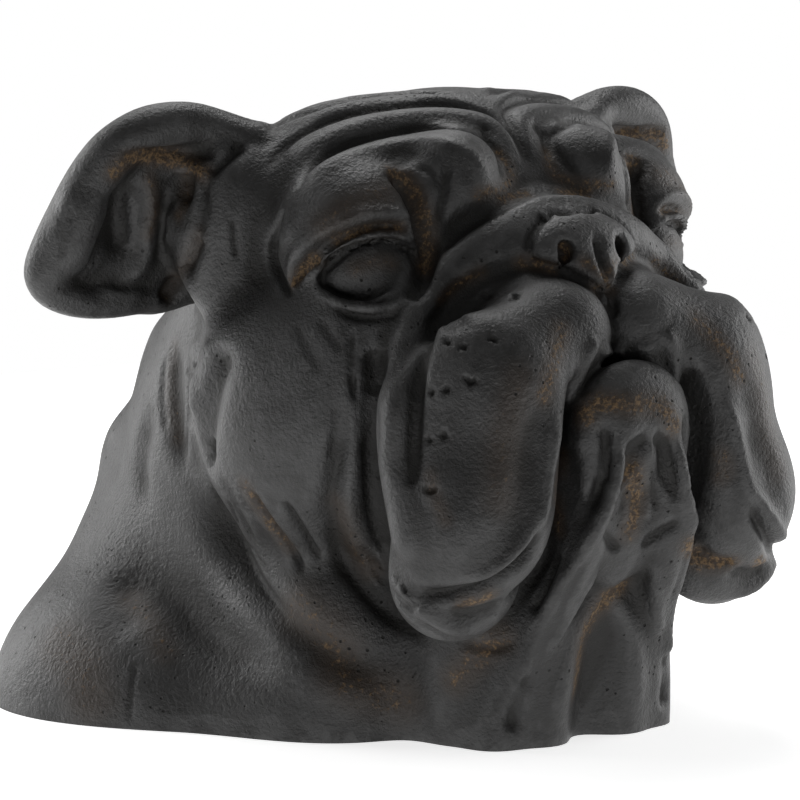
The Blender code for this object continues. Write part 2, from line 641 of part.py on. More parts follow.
def sculpted(gap, groups):
    """The figure's skin, at a gap between points, with groups of folds pressed in one after another."""
    clay = Clay(floor=LOWEST[2])
    for shape in (neck_and_shoulders, skull, muzzle, chin, nose, eyes, ears, nose_roll):
        shape(clay)
    grid, start = sampled(clay, LOWEST, HIGHEST, gap)
    skin = Skin(*skinned(untied(grid, gap), start, gap))
    for folds in groups:
        for fold in folds:
            skin.fold(fold)
        skin.settle()
    return skin


def cast_from(skin, name):
    """An object in metres that faces -Y, with the cut at z = 0."""
    # The figure faces +y and its right is +x, so half a turn about z makes it face -Y.
    points = (skin.points * [-1, -1, 1] + [0, 0, NOSE_ABOVE_CUT]) * UNIT
    mesh = bpy.data.meshes.new(name)
    mesh.from_pydata(points.tolist(), [], skin.quads.tolist())
    casting = bpy.data.objects.new(name, mesh)
    bpy.context.collection.objects.link(casting)
    return casting


def thin_out(casting, triangles):
    """Swaps the object's mesh for one of about so many triangles, which keeps most of them in the folds."""
    whole = casting.data
    whole.calc_loop_triangles()
    thin = casting.modifiers.new("thin", "DECIMATE")
    thin.ratio = triangles / len(whole.loop_triangles)
    casting.data = bpy.data.meshes.new_from_object(
        casting.evaluated_get(bpy.context.evaluated_depsgraph_get()))
    casting.modifiers.clear()
    bpy.data.meshes.remove(whole)


def cut_flat(casting):
    """Cuts the object off flat at z = 0, closes the cut and leaves only triangles."""
    mesh = bmesh.new()
    mesh.from_mesh(casting.data)
    cut = bmesh.ops.bisect_plane(mesh, geom=mesh.verts[:] + mesh.edges[:] + mesh.faces[:],
                                 plane_co=(0, 0, 0), plane_no=(0, 0, -1), clear_outer=True)
    rim = [piece for piece in cut["geom_cut"] if isinstance(piece, bmesh.types.BMEdge)]
    bmesh.ops.contextual_create(mesh, geom=rim)
    bmesh.ops.triangulate(mesh, faces=mesh.faces[:])
    mesh.to_mesh(casting.data)
    mesh.free()


def centre(casting):
    """Moves the mesh so that the middle of its box's bottom is the origin, and returns the move."""
    corners = np.array([vertex.co for vertex in casting.data.vertices])
    middle = (corners.min(axis=0) + corners.max(axis=0)) / 2
    move = Vector((-middle[0], -middle[1], -corners[:, 2].min()))
    casting.data.transform(Matrix.Translation(move))
    return move


def cast_stone():
    material = bpy.data.materials.new("cast_stone")
    material.use_nodes = True
    shader = material.node_tree.nodes["Principled BSDF"]
    shader.inputs["Base Color"].default_value = CAST_STONE
    shader.inputs["Roughness"].default_value = CAST_ROUGHNESS
    material.diffuse_color = CAST_STONE
    return material


def main():
    for old in list(bpy.data.objects):
        bpy.data.objects.remove(old, do_unlink=True)
    bust = cast_from(sculpted(GAP, FOLDS), NODE)
    thin_out(bust, TRIANGLES)
    cut_flat(bust)
    centre(bust)
    bust.data.materials.append(cast_stone())
    bust.data.shade_smooth()


if __name__ == "__main__":
    main()
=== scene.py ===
# %% [markdown]
# # A bulldog garden statue
# The bust is one dark casting of a bulldog's head, neck and shoulders, cut flat below. This script makes
# the finished look around the plain CAD model. It sculpts the head again at a finer grain, with the small
# carving that the CAD leaves out, gives it the finish of weathered cast stone, and sets it in a studio.

import json
import math
from collections import namedtuple

import bmesh
import bpy
import numpy as np
from mathutils import Matrix, Vector
from mathutils.bvhtree import BVHTree

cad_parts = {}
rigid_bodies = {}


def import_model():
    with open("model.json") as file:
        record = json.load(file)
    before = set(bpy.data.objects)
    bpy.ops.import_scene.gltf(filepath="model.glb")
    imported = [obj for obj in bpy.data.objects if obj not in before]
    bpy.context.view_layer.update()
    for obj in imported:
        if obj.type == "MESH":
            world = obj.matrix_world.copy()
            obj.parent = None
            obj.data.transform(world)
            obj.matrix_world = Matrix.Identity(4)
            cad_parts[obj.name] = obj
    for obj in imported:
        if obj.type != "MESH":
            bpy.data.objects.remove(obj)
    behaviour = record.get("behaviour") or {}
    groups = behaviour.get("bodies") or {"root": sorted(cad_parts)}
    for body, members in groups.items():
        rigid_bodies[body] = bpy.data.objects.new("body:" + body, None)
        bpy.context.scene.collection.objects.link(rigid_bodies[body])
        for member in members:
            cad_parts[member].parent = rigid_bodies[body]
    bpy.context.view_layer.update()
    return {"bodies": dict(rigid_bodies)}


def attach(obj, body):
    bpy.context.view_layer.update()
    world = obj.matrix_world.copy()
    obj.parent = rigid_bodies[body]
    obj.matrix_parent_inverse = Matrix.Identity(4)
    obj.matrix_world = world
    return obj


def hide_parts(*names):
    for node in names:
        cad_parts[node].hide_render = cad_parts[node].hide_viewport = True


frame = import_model()
NODE = "bulldog_bust"
print("bodies:", ", ".join(frame["bodies"]))

# %% [markdown]
# ## Sizes
# The figure is laid out in its own units, 261 from the flat cut to the top of the ears, and the real bust is
# 261 mm high. The clay goes on a little below the cut, so that the cut is clean.

# %% Sizes
BUST_HEIGHT = 0.261
FIGURE_HEIGHT = 261.0
NOSE_ABOVE_CUT = 200.0
CLAY_BELOW_CUT = 12.0
UNIT = BUST_HEIGHT / FIGURE_HEIGHT
GAP = 1.6
TRIANGLES = 190000
print(f"one figure unit is {UNIT * 1000:.3f} mm, and the skin's points are {GAP} units apart")

# %% [markdown]
# ## The drawing
# The carver lays the folds out on a three-quarter drawing of the head, 800 steps square, and carries
# each line across to the clay. Here a drawn point is a sight line from the drawing's eye, and where it
# meets the clay is where the fold goes. The same sight lines set the camera at the end.

# %% Sight lines
# The drawing is seen from the dog's front right. A drawing step is in figure units at the depth of the nose.
DRAWING_SIZE = 800
DRAWING_STEP = 0.4
DRAWING_NOSE = (595, 248)
SIGHT_TURN = math.radians(38)
SIGHT_FALL = math.radians(7)
SIGHT_DISTANCE = 1600.0

# In figure units x is out to the dog's right, y forward and z up
ACROSS = np.array([-math.cos(SIGHT_TURN), math.sin(SIGHT_TURN), 0])
LEVEL = np.array([math.sin(SIGHT_TURN), math.cos(SIGHT_TURN), 0])
TOWARDS = LEVEL * math.cos(SIGHT_FALL) + np.array([0, 0, math.sin(SIGHT_FALL)])
UPWARDS = np.array([0, 0, math.cos(SIGHT_FALL)]) - LEVEL * math.sin(SIGHT_FALL)
HALF_DRAWING = DRAWING_SIZE / 2
EYE = (TOWARDS * SIGHT_DISTANCE - ACROSS * (DRAWING_NOSE[0] - HALF_DRAWING) * DRAWING_STEP
       - UPWARDS * (HALF_DRAWING - DRAWING_NOSE[1]) * DRAWING_STEP)


def sight(drawn):
    """Directions from the eye through drawn points."""
    drawn = np.asarray(drawn, float)
    u = (drawn[:, :1] - HALF_DRAWING) * DRAWING_STEP
    v = (HALF_DRAWING - drawn[:, 1:2]) * DRAWING_STEP
    way = u * ACROSS + v * UPWARDS - TOWARDS * SIGHT_DISTANCE
    return way / np.linalg.norm(way, axis=1, keepdims=True)


def on_plane(drawn, point, normal, gap):
    """Where sight lines through a smooth drawn line meet a plane."""
    way = sight(smooth_line(drawn, gap / DRAWING_STEP))
    return EYE + way * (((point - EYE) @ normal) / (way @ normal))[:, None]


def facing(tilt):
    """Axes of a form that faces the drawing's viewer, tilted by degrees in the drawing."""
    a = math.radians(tilt)
    return np.stack([ACROSS * math.cos(a) + UPWARDS * math.sin(a),
                     UPWARDS * math.cos(a) - ACROSS * math.sin(a), TOWARDS], axis=1)


def turned(angles):
    """Axes of a form that is turned by degrees about x, then y, then z."""
    a, b, c = (math.radians(v) for v in angles)
    about_x = np.array([[1, 0, 0], [0, math.cos(a), -math.sin(a)], [0, math.sin(a), math.cos(a)]])
    about_y = np.array([[math.cos(b), 0, math.sin(b)], [0, 1, 0], [-math.sin(b), 0, math.cos(b)]])
    about_z = np.array([[math.cos(c), -math.sin(c), 0], [math.sin(c), math.cos(c), 0], [0, 0, 1]])
    return about_z @ about_y @ about_x


print("the drawing's eye is at", EYE.round(1), "in figure units")

# %% [markdown]
# ## Smooth lines
# A few points are enough for a fold when a smooth curve runs through them. A Catmull-Rom curve passes
# through every point, so a fold stays where it was drawn. A Bezier curve would need handles too.

# %% Smooth lines
def smooth_line(points, gap):
    """Points about a gap apart on a Catmull-Rom curve through the given ones."""
    p = np.asarray(points, float)
    p = np.vstack([2 * p[0] - p[1], p, 2 * p[-1] - p[-2]])
    made = []
    for a, b, c, d in zip(p[:-3], p[1:-2], p[2:-1], p[3:]):
        steps = max(2, int(np.linalg.norm(c - b) / gap) + 1)
        t = np.linspace(0, 1, steps, endpoint=False)[:, None]
        bend = (2 * a - 5 * b + 4 * c - d) * t ** 2 + (3 * b - a - 3 * c + d) * t ** 3
        made.append(0.5 * (2 * b + (c - a) * t + bend))
    return np.vstack(made + [p[-2:-1]])


def softened(values, times=4):
    """Rows averaged with their neighbours, with the end rows kept."""
    values = values.copy()
    for _ in range(times):
        values[1:-1] = (values[:-2] + 2 * values[1:-1] + values[2:]) / 4
    return values


def taper(count, start, middle, end, peak=0.5):
    """Values that swell from start to middle at the peak and fall to end."""
    t = np.linspace(0, 1, count)
    up = start + (middle - start) * np.sin(np.clip(t / peak, 0, 1) * math.pi / 2)
    down = end + (middle - end) * np.sin(np.clip((1 - t) / (1 - peak), 0, 1) * math.pi / 2)
    return np.where(t < peak, up, down)


def smooth_min(a, b, blend):
    """The lesser of two distances, rounded where they are nearly the same."""
    share = np.clip(0.5 + 0.5 * (b - a) / blend, 0, 1)
    return b + (a - b) * share - blend * share * (1 - share)


print(len(smooth_line([(0, 0), (10, 0), (10, 10)], 1)), "points on a smooth corner of 20 units")

# %% [markdown]
# ## Clay
# The sculptor of the real bust built it up in clay before it was moulded and cast. Sculpt mode would do
# that by hand, but a script can press the same balls, ropes and plates of clay together as a distance
# field, where a number at each point in space says how far it is to the surface. Forms join with a soft
# blend, and a form can also be cut away. Each form is worked out on one side of the head and counts on
# both, because the field is asked with x made positive.

# %% Forms of clay
PAST_BLEND = 12


class Form:
    """A form of clay with a box round what it reaches, pressed on with a blend, or cut away."""

    def reach(self, low, high, blend, cut):
        margin = blend + PAST_BLEND
        self.low, self.high = low - margin, high + margin
        self.blend, self.cut = blend, cut

    def near(self, p):
        return np.nonzero(((p > self.low) & (p < self.high)).all(axis=1))[0]


class Lump(Form):
    """An ellipsoid of clay."""

    def __init__(self, centre, radii, turn=(0, 0, 0), blend=12, cut=False, axes=None):
        self.centre = np.array(centre, float)
        self.radii = np.array(radii, float)
        self.axes = turned(turn) if axes is None else axes
        self.reach(self.centre - max(radii), self.centre + max(radii), blend, cut)

    def distance(self, p):
        q = (p - self.centre) @ self.axes
        a = np.sqrt(((q / self.radii) ** 2).sum(axis=1)) + 1e-9
        b = np.sqrt(((q / self.radii ** 2) ** 2).sum(axis=1)) + 1e-9
        return a * (a - 1) / b


class Rope(Form):
    """A rope of clay laid along a smooth line, as a dense string of beads."""

    def __init__(self, points, radii, blend=4, cut=False):
        self.points, self.radii = points, radii
        self.reach(points.min(axis=0) - max(radii), points.max(axis=0) + max(radii), blend, cut)

    def distance(self, p):
        best = np.full(len(p), 1e3)
        for centre, radius in zip(self.points, self.radii):
            best = np.minimum(best, np.sqrt(((p - centre) ** 2).sum(axis=1)) - radius)
        return best


class Leaf(Form):
    """A plate of clay with a drawn outline and a round edge."""

    def __init__(self, outline, origin, axes, thick, blend):
        self.origin, self.axes, self.thick = origin, axes, thick
        self.outline = ((outline - origin) @ axes)[:, :2]
        self.reach(outline.min(axis=0) - thick, outline.max(axis=0) + thick, blend, False)

    def distance(self, p):
        x, y, rise = ((p - self.origin) @ self.axes).T
        best = np.full(len(p), 1e6)
        inside = np.zeros(len(p), bool)
        for (ax, ay), (bx, by) in zip(self.outline, np.roll(self.outline, -1, axis=0)):
            ex, ey = bx - ax, by - ay
            t = np.clip(((x - ax) * ex + (y - ay) * ey) / (ex * ex + ey * ey + 1e-9), 0, 1)
            best = np.minimum(best, (x - ax - t * ex) ** 2 + (y - ay - t * ey) ** 2)
            inside ^= ((ay > y) != (by > y)) & (x < ex * (y - ay) / (ey + 1e-12) + ax)
        edge = np.sqrt(best) * np.where(inside, -1, 1)
        return np.hypot(np.maximum(edge + self.thick, 0), rise) - self.thick


print("forms of clay:", [kind.__name__ for kind in Form.__subclasses__()])

# %% Clay
FAR_OFF = 60.0
HEAD_REACH = 260.0
STRIDES = 90
LONGEST_STRIDE = 20
STRIDE_SHARE = 0.8


class Clay:
    """Forms pressed together in order, each of them on both sides of the figure's middle plane."""

    def __init__(self, floor):
        self.forms = []
        self.floor = floor

    def lump(self, *size, **press):
        self.forms.append(Lump(*size, **press))

    def rope(self, *size, **press):
        self.forms.append(Rope(*size, **press))

    def leaf(self, *size, **press):
        self.forms.append(Leaf(*size, **press))

    def field(self, points):
        """Distance to the surface, negative inside the clay."""
        p = np.column_stack([np.abs(points[:, 0]), points[:, 1:]])
        d = np.full(len(p), FAR_OFF)
        for form in self.forms:
            near = form.near(p)
            if not len(near):
                continue
            e = form.distance(p[near])
            if form.cut:
                d[near] = -smooth_min(-d[near], e, form.blend)
            else:
                d[near] = smooth_min(d[near], e, form.blend)
        return np.maximum(d, self.floor - p[:, 2])

    def slope(self, points, reach=0.5):
        """Unit normals of the field."""
        steps = np.eye(3) * reach
        g = np.stack([self.field(points + step) - self.field(points - step) for step in steps], axis=1)
        return g / (np.linalg.norm(g, axis=1, keepdims=True) + 1e-9)

    def met(self, drawn):
        """Where sight lines through drawn points first meet the clay."""
        way = sight(drawn)
        along = np.full(len(way), SIGHT_DISTANCE - HEAD_REACH)
        for _ in range(STRIDES):
            along += np.clip(self.field(EYE + way * along[:, None]), -3, LONGEST_STRIDE) * STRIDE_SHARE
        return EYE + way * along[:, None]

    def drawn_rope(self, drawn, radii, sunk=0.5, blend=4, cut=False, gap=2.5):
        """Lays a rope on the clay along a drawn line. radii are those at its start, middle and end."""
        points = self.met(smooth_line(drawn, gap / DRAWING_STEP))
        radius = taper(len(points), *radii)
        points = softened(points - self.slope(points) * (radius * sunk)[:, None])
        self.rope(points, radius, blend=blend, cut=cut)


ball = Clay(floor=-FAR_OFF)
ball.lump((20, 0, 0), (10, 10, 10))
print("a point 20 from the middle of a ball of radius 10 is", ball.field(np.array([[40.0, 0, 0]])), "away")

# %% [markdown]
# ## A skin for the clay
# A distance field has no faces, so it has to be skinned. The field is sampled on a grid, every cell
# that the surface crosses gets one point, and every grid edge that it crosses gets a quad between the
# four cells around it. This is a surface net. Its quads are even, which suits folds that are pressed in
# afterwards. Metaballs would do the same, but they can't take plates, ropes or cuts. Only the blocks of
# the grid that lie near the surface are worked out in full.

# %% Grid
CORNERS = [(i, j, k) for i in (0, 1) for j in (0, 1) for k in (0, 1)]
BLOCK = 4


def pieces(corners):
    """How many pieces a cell's corners make when they are joined along the cell's edges."""
    left = set(corners)
    count = 0
    while left:
        count += 1
        reached = [left.pop()]
        while reached:
            one = np.array(reached.pop())
            joined = {other for other in left if np.abs(one - other).sum() == 1}
            left -= joined
            reached += joined
    return count


def is_tied(number):
    """Whether clay or air makes two pieces in a cell. Each corner with clay in it is a bit of the number."""
    clay = [corner for bit, corner in enumerate(CORNERS) if number >> bit & 1]
    return max(pieces(clay), pieces(set(CORNERS) - set(clay))) > 1


def untied(grid, gap):
    """Fills grid points until the skin can't touch itself inside a cell."""
    tied = np.array([is_tied(number) for number in range(2 ** len(CORNERS))])
    n = np.array(grid.shape) - 1
    while True:
        inside = (grid < 0).astype(np.int16)
        numbers = sum(inside[i:n[0] + i, j:n[1] + j, k:n[2] + k] << bit
                      for bit, (i, j, k) in enumerate(CORNERS))
        cells = np.argwhere(tied[numbers])
        if not len(cells):
            return grid
        corners = cells[:, None] + np.array(CORNERS)
        values = grid[tuple(corners.reshape(-1, 3).T)].reshape(len(cells), -1)
        values = np.where(values < 0, np.inf, values)
        filled = corners[values < values.min(axis=1, keepdims=True) + gap / 1000]
        grid[tuple(filled.T)] = -gap / 100


def sampled(clay, low, high, gap):
    """The field on a grid and the grid's first point, worked out fully only in blocks near the surface."""
    blocks = np.ceil((high - low) / (gap * BLOCK)).astype(int)
    blocks[0] += blocks[0] % 2
    shape = blocks * BLOCK
    start = low - np.array([0, 0, gap * 1.5])
    start[0] = (1 - shape[0]) / 2 * gap
    half = blocks[0] // 2
    corners = np.stack(np.meshgrid(*[np.arange(n) for n in (half, blocks[1], blocks[2])], indexing="ij"), -1)
    corners = corners.reshape(-1, 3) + [half, 0, 0]
    rough = clay.field(start + (corners * BLOCK + (BLOCK - 1) / 2) * gap)
    grid = np.empty(tuple(shape), np.float32)
    upper = grid[shape[0] // 2:].reshape(half, BLOCK, blocks[1], BLOCK, blocks[2], BLOCK)
    upper[:] = rough.reshape(half, blocks[1], blocks[2])[:, None, :, None, :, None]
    chosen = corners[np.abs(rough) < gap * BLOCK + 3]
    inner = np.stack(np.meshgrid(*[np.arange(BLOCK)] * 3, indexing="ij"), -1).reshape(-1, 3)
    index = (chosen[:, None] * BLOCK + inner).reshape(-1, 3)
    grid[tuple(index.T)] = clay.field(start + index * gap)
    grid[:shape[0] // 2] = grid[shape[0] // 2:][::-1]
    return grid, start


print(sum(is_tied(number) for number in range(2 ** len(CORNERS))), "kinds of cell can touch themselves")

# %% Skin from the grid
def skinned(grid, start, gap):
    """A point in each cell that the surface crosses, and a quad round each grid edge that it crosses."""
    inside = grid < 0
    n = np.array(grid.shape) - 1
    count = sum(inside[i:n[0] + i, j:n[1] + j, k:n[2] + k].astype(np.int8) for i, j, k in CORNERS)
    cells = np.argwhere((count > 0) & (count < 8))
    number = np.full(tuple(n), -1, np.int32)
    number[tuple(cells.T)] = np.arange(len(cells))
    total, hits = np.zeros((len(cells), 3)), np.zeros(len(cells))
    for corner in CORNERS:
        for axis in range(3):
            if corner[axis]:
                continue
            step = np.eye(3, dtype=int)[axis]
            one, two = grid[tuple((cells + corner).T)], grid[tuple((cells + corner + step).T)]
            cross = (one < 0) != (two < 0)
            share = np.where(cross, one / np.where(cross, one - two, 1), 0)
            total += (np.array(corner) + share[:, None] * step) * cross[:, None]
            hits += cross
    points = start + (cells + total / hits[:, None]) * gap
    return points, np.vstack([quads_across(axis, inside, number) for axis in range(3)])


def quads_across(axis, inside, number):
    """Quads round the grid edges along one axis, each turned to face out of the clay."""
    one, two = np.roll(np.eye(3, dtype=int), -1 - axis, axis=0)[:2]
    ahead = np.roll(inside, -1, axis=axis)
    edges = np.argwhere(inside != ahead)
    held = (edges > 0).all(axis=1) | ((edges > 0) | np.eye(3, dtype=bool)[axis]).all(axis=1)
    edges = edges[held & (edges < np.array(number.shape)).all(axis=1)]
    quads = np.stack([number[tuple((edges - c).T)] for c in (one + two, two, 0 * one, one)], axis=1)
    outward = ~inside[tuple(edges.T)]
    quads[outward] = quads[outward][:, ::-1]
    return quads


ball_grid, ball_start = sampled(ball, np.array([-32.0, -12, -12]), np.array([32.0, 12, 12]), 2)
ball_points, ball_quads = skinned(ball_grid, ball_start, 2)
print("the ball and its mirror have a skin of", len(ball_points), "points and", len(ball_quads), "quads")

# %% [markdown]
# ## Folds
# A bulldog's wrinkles are too fine for lumps of clay, so they are pressed into the skin along drawn
# lines, as a modelling tool does. A fold has a groove or a ridge of some width and depth, and the skin
# may swell beside it. It fades at both ends. The near side of the head is drawn, and each fold is pressed
# in on both sides.

# %% Folds
# A fold drawn on the skin: pressed in by depth, or raised when depth is negative. left and right swell
# the skin beside it, and it dies away over the share of its length that ends gives.
Fold = namedtuple("Fold", "line width depth left right ends", defaults=(0.0, 0.0, 0.2))
FOLD_STEP = 1.2
JUMP = 7
SHORTEST_RUN = 5
FOLD_REACH = 4.5
SWELL_AWAY = 1.9
SWELL_WIDTH = 1.3


class Skin:
    """The skinned clay. Folds push it in and pull it out, the same on both sides of the head."""

    def __init__(self, points, quads):
        self.points, self.quads = points, quads
        self.relax()
        self.settle()

    def relax(self, rounds=2):
        """Smooths away the grid's steps: each round pulls points to their neighbours and pushes them back."""
        near = np.vstack([self.quads, self.quads])
        far = np.vstack([np.roll(self.quads, 1, axis=1), np.roll(self.quads, -1, axis=1)]).ravel()
        near = near.ravel()
        count = np.bincount(near)[:, None]
        for share in (0.5, -0.52) * rounds:
            total = np.stack([np.bincount(near, side[far]) for side in self.points.T], axis=1)
            self.points += (total / count - self.points) * share

    def settle(self):
        """Works out the normals, and the tree that lines are thrown on, from the skin as it is now."""
        a, b, c, d = (self.points[self.quads[:, i]] for i in range(4))
        face = np.cross(c - a, d - b)
        corners = self.quads.T.reshape(-1)
        sums = [np.bincount(corners, np.tile(side, 4), len(self.points)) for side in face.T]
        total = np.stack(sums, axis=1)
        self.normals = total / (np.linalg.norm(total, axis=1, keepdims=True) + 1e-9)
        self.tree = BVHTree.FromPolygons(self.points.tolist(), self.quads.tolist())

    def fold(self, fold):
        """Throws the fold's drawn line on the skin, and presses each run of it that doesn't jump."""
        line = sight(smooth_line(fold.line, FOLD_STEP / DRAWING_STEP))
        hits = [self.tree.ray_cast(Vector(EYE), Vector(way)) for way in line]
        points = np.array([hit[0] for hit in hits if hit[0]])
        normals = np.array([hit[1] for hit in hits if hit[0]])
        jumps = np.nonzero(np.linalg.norm(np.diff(points, axis=0), axis=1) > JUMP)[0] + 1
        for run, out in zip(np.split(points, jumps), np.split(normals, jumps)):
            if len(run) < SHORTEST_RUN:
                continue
            out[:, 0] *= np.sign(run[:, 0])
            run[:, 0] = np.abs(run[:, 0])
            self.press(softened(run), softened(out), fold)

    def press(self, line, out, fold):
        """Moves the skin near a line that lies on it. out are the skin's normals along the line."""
        beside = np.cross(np.gradient(line, axis=0), out)
        beside /= np.linalg.norm(beside, axis=1, keepdims=True) + 1e-9
        t = np.linspace(0, 1, len(line))
        fade = np.clip(np.minimum(t, 1 - t) / fold.ends, 0, 1)
        fade = fade * fade * (3 - 2 * fade)
        side = np.where(self.points[:, :1] < 0, -1.0, 1.0) * [1, 0, 0] + [0, 1, 1]
        folded = self.points * side
        margin = fold.width * FOLD_REACH
        beyond = np.maximum(line.min(axis=0) - folded, folded - line.max(axis=0)).max(axis=1)
        near = np.nonzero(beyond < margin)[0]
        p, facing_out = folded[near], self.normals[near] * side[near]
        gap = np.full(len(p), 1e9)
        best = np.zeros(len(p), int)
        for i, point in enumerate(line):
            square = ((p - point) ** 2).sum(axis=1)
            closer = square < gap
            gap[closer], best[closer] = square[closer], i
        offset = p - line[best]
        across = (offset * beside[best]).sum(axis=1)
        rise = (offset * out[best]).sum(axis=1)
        flat = np.maximum(gap - rise ** 2, 0)
        past = np.exp(-np.maximum(flat - across ** 2, 0) / fold.width ** 2)
        held = np.clip((facing_out * out[best]).sum(axis=1) * 2, 0, 1)
        held *= np.exp(-(rise / (fold.width * 3 + 4)) ** 2)
        push = -fold.depth * np.exp(-flat / fold.width ** 2)
        for swell, way in ((fold.left, 1), (fold.right, -1)):
            push += swell * np.exp(-((across / fold.width + SWELL_AWAY * way) / SWELL_WIDTH) ** 2) * past
        self.points[near] += self.normals[near] * (push * fade[best] * held)[:, None]


print("a fold is given by its", ", ".join(Fold._fields))

# %% [markdown]
# ## The masses
# The forms are in figure units, where the bust is 261 high: x goes out to the dog's right, y forward and
# z up from the tip of the nose. The big masses come first, then the features on them, because each form
# only blends with what is there already.

# %% Neck, skull and muzzle
# Forms with x at nought are on the middle plane, and the others come in pairs
def neck_and_shoulders(clay):
    # The neck leans back from the skull down to the withers
    clay.lump((0, -146, -62), (95, 80, 98), turn=(-22, 0, 0), blend=18)
    clay.lump((0, -160, -108), (102, 98, 86), turn=(-28, 0, 0), blend=22)
    clay.lump((0, -176, -204), (144, 124, 90), turn=(-8, 0, 0), blend=32)
    clay.lump((90, -188, -204), (66, 64, 60), blend=22)
    clay.lump((64, -90, -188), (38, 40, 80), blend=30)
    # The withers, and soft rolls across the nape
    clay.lump((0, -206, -146), (94, 66, 40), turn=(-30, 0, 0), blend=34)
    clay.lump((0, -208, -54), (64, 22, 17), turn=(-30, 0, 0), blend=20)
    clay.lump((0, -228, -98), (76, 22, 17), turn=(-30, 0, 0), blend=22)


def skull(clay):
    clay.lump((0, -95, 1), (94, 62, 60), blend=14)
    clay.lump((50, -104, 7), (44, 46, 48), blend=14)
    # Brows
    clay.lump((71, -65, 8), (32, 27, 28), turn=(0, 0, -20), blend=8)
    clay.lump((33, -50, 22), (20, 20, 24), blend=10)
    # Cheeks
    clay.lump((75, -88, -66), (47, 52, 60), blend=16)
    clay.lump((64, -54, -56), (37, 36, 62), blend=18)


def muzzle(clay):
    clay.lump((0, -32, -30), (60, 34, 46), blend=10)
    # Jaw and throat
    clay.lump((0, -60, -95), (72, 70, 52), blend=14)
    clay.lump((0, -36, -165), (60, 44, 110), blend=18)
    # Flews, the upper lips that hang at each side of the chin
    clay.lump((25, -3, -33), (25, 20, 22), blend=6)
    clay.lump((20, 5, -33), (19, 17, 19), blend=8)
    clay.lump((47, 5, -49), (26, 21, 29), turn=(0, 0, -30), blend=12)
    clay.lump((66, 4.5, -75), (34, 21, 52), turn=(0, 0, -42), blend=12)
    clay.lump((71, 9, -104), (29, 23, 30), turn=(0, 0, -30), blend=12)
    # The rim of the lower lip, under the flew
    clay.lump((69, -3, -124), (29, 21, 28), blend=8)


def forms_in(*shapes):
    """How many forms of clay some shapes are made of."""
    clay = Clay(floor=0)
    for shape in shapes:
        shape(clay)
    return len(clay.forms)


print(forms_in(neck_and_shoulders, skull, muzzle), "lumps in the masses")

# %% Chin, nose and eyes
def chin(clay):
    # The mouth's line, an arch that runs over the chin and down each side of it
    arch = smooth_line([(-8, 27, -38), (0, 27, -38), (12, 27, -41), (23, 26, -50), (31, 24, -66),
                        (34, 20, -88), (35, 12, -114)], 2)
    clay.rope(arch, taper(len(arch), 3, 6, 5), blend=4, cut=True)
    clay.lump((32, 20, -88), (5, 19, 38), turn=(0, 0, -12), blend=6, cut=True)
    clay.lump((0, 22, -68), (29, 13, 25), blend=3)
    clay.lump((0, 12, -96), (29, 14, 38), blend=14)
    # The dewlap hangs from the chin in one cord at each side of the middle
    cord = smooth_line([(11, 26, -66), (17, 25, -90), (22, 22, -112), (25, 15, -128), (29, 3, -148),
                        (32, -3, -160), (38, -9, -181), (44, -15, -215)], 2.5)
    clay.rope(cord, taper(len(cord), 5, 8, 8, peak=0.6), blend=10)
    # The hollow between the cords
    clay.lump((0, 8, -192), (9, 15, 44), turn=(-14, 0, 0), blend=20, cut=True)


def nose(clay):
    clay.lump((0, -14, -3), (31, 17, 18), turn=(20, 0, 0), blend=2)
    clay.lump((0, -6, -15), (15, 15, 15), blend=3)


def eyes(clay):
    """The lids swell, then the almond is cut into them and the ball is set in it."""
    clay.lump((73, -55, -9), (21, 20, 19), blend=4)
    clay.lump((80, -42.6, -7.8), (22, 13, 14), axes=facing(10), blend=1.5, cut=True)
    clay.lump((70, -57, -10.5), (22, 21, 20), blend=1)


print(forms_in(chin, nose, eyes), "forms in the chin, nose and eyes")

# %% [markdown]
# ## Ears
# The ears are thin and stand away from the head, folded back along the front edge. A lump would make
# them thick, so each is a plate with a drawn outline and a rope of clay along its rim.

# %% Ears
# The ear is drawn on a plane through these three points of it
EAR_ROOT = np.array([78.0, -120.0, 43.0])
EAR_LOBE = np.array([98.0, -150.0, -28.0])
EAR_TIP = np.array([165.0, -157.0, -15.0])
EAR_THICKNESS = 5.5
EAR_OUTLINE = [(262, 124), (215, 108), (180, 104), (140, 112), (107, 136), (82, 170), (62, 208), (42, 246),
               (30, 276), (40, 300), (80, 313), (120, 312), (160, 312), (205, 290), (240, 230), (275, 160),
               (262, 124)]
EAR_RIM = [(258, 136), (215, 128), (180, 126), (146, 134), (116, 154), (92, 184), (72, 220), (56, 252),
           (48, 276), (58, 292), (84, 302), (120, 304), (152, 300)]


def ears(clay):
    # The root of the ear runs into the temple
    clay.lump((97, -120, 8), (20, 26, 38), blend=16)
    out = np.cross(EAR_TIP - EAR_ROOT, EAR_LOBE - EAR_ROOT)
    out /= np.linalg.norm(out)
    outline = on_plane(EAR_OUTLINE, EAR_ROOT, out, gap=3.2)[:-1]
    along = (EAR_TIP - EAR_ROOT) / np.linalg.norm(EAR_TIP - EAR_ROOT)
    axes = np.stack([along, np.cross(out, along), out], axis=1)
    clay.leaf(outline, (EAR_ROOT + EAR_LOBE + EAR_TIP) / 3, axes, EAR_THICKNESS, blend=7)
    clay.drawn_rope(EAR_RIM, (6, 10.5, 5), sunk=0.3, blend=3)


print("the ear is", np.linalg.norm(EAR_TIP - EAR_ROOT).round(), "units from its root to its tip")

# %% [markdown]
# ## Nose roll
# The roll of skin that lies over the nose and runs down into the flew is what makes a bulldog's face.
# It is one rope of clay laid on the masses along a drawn line, with a crease cut along each side.

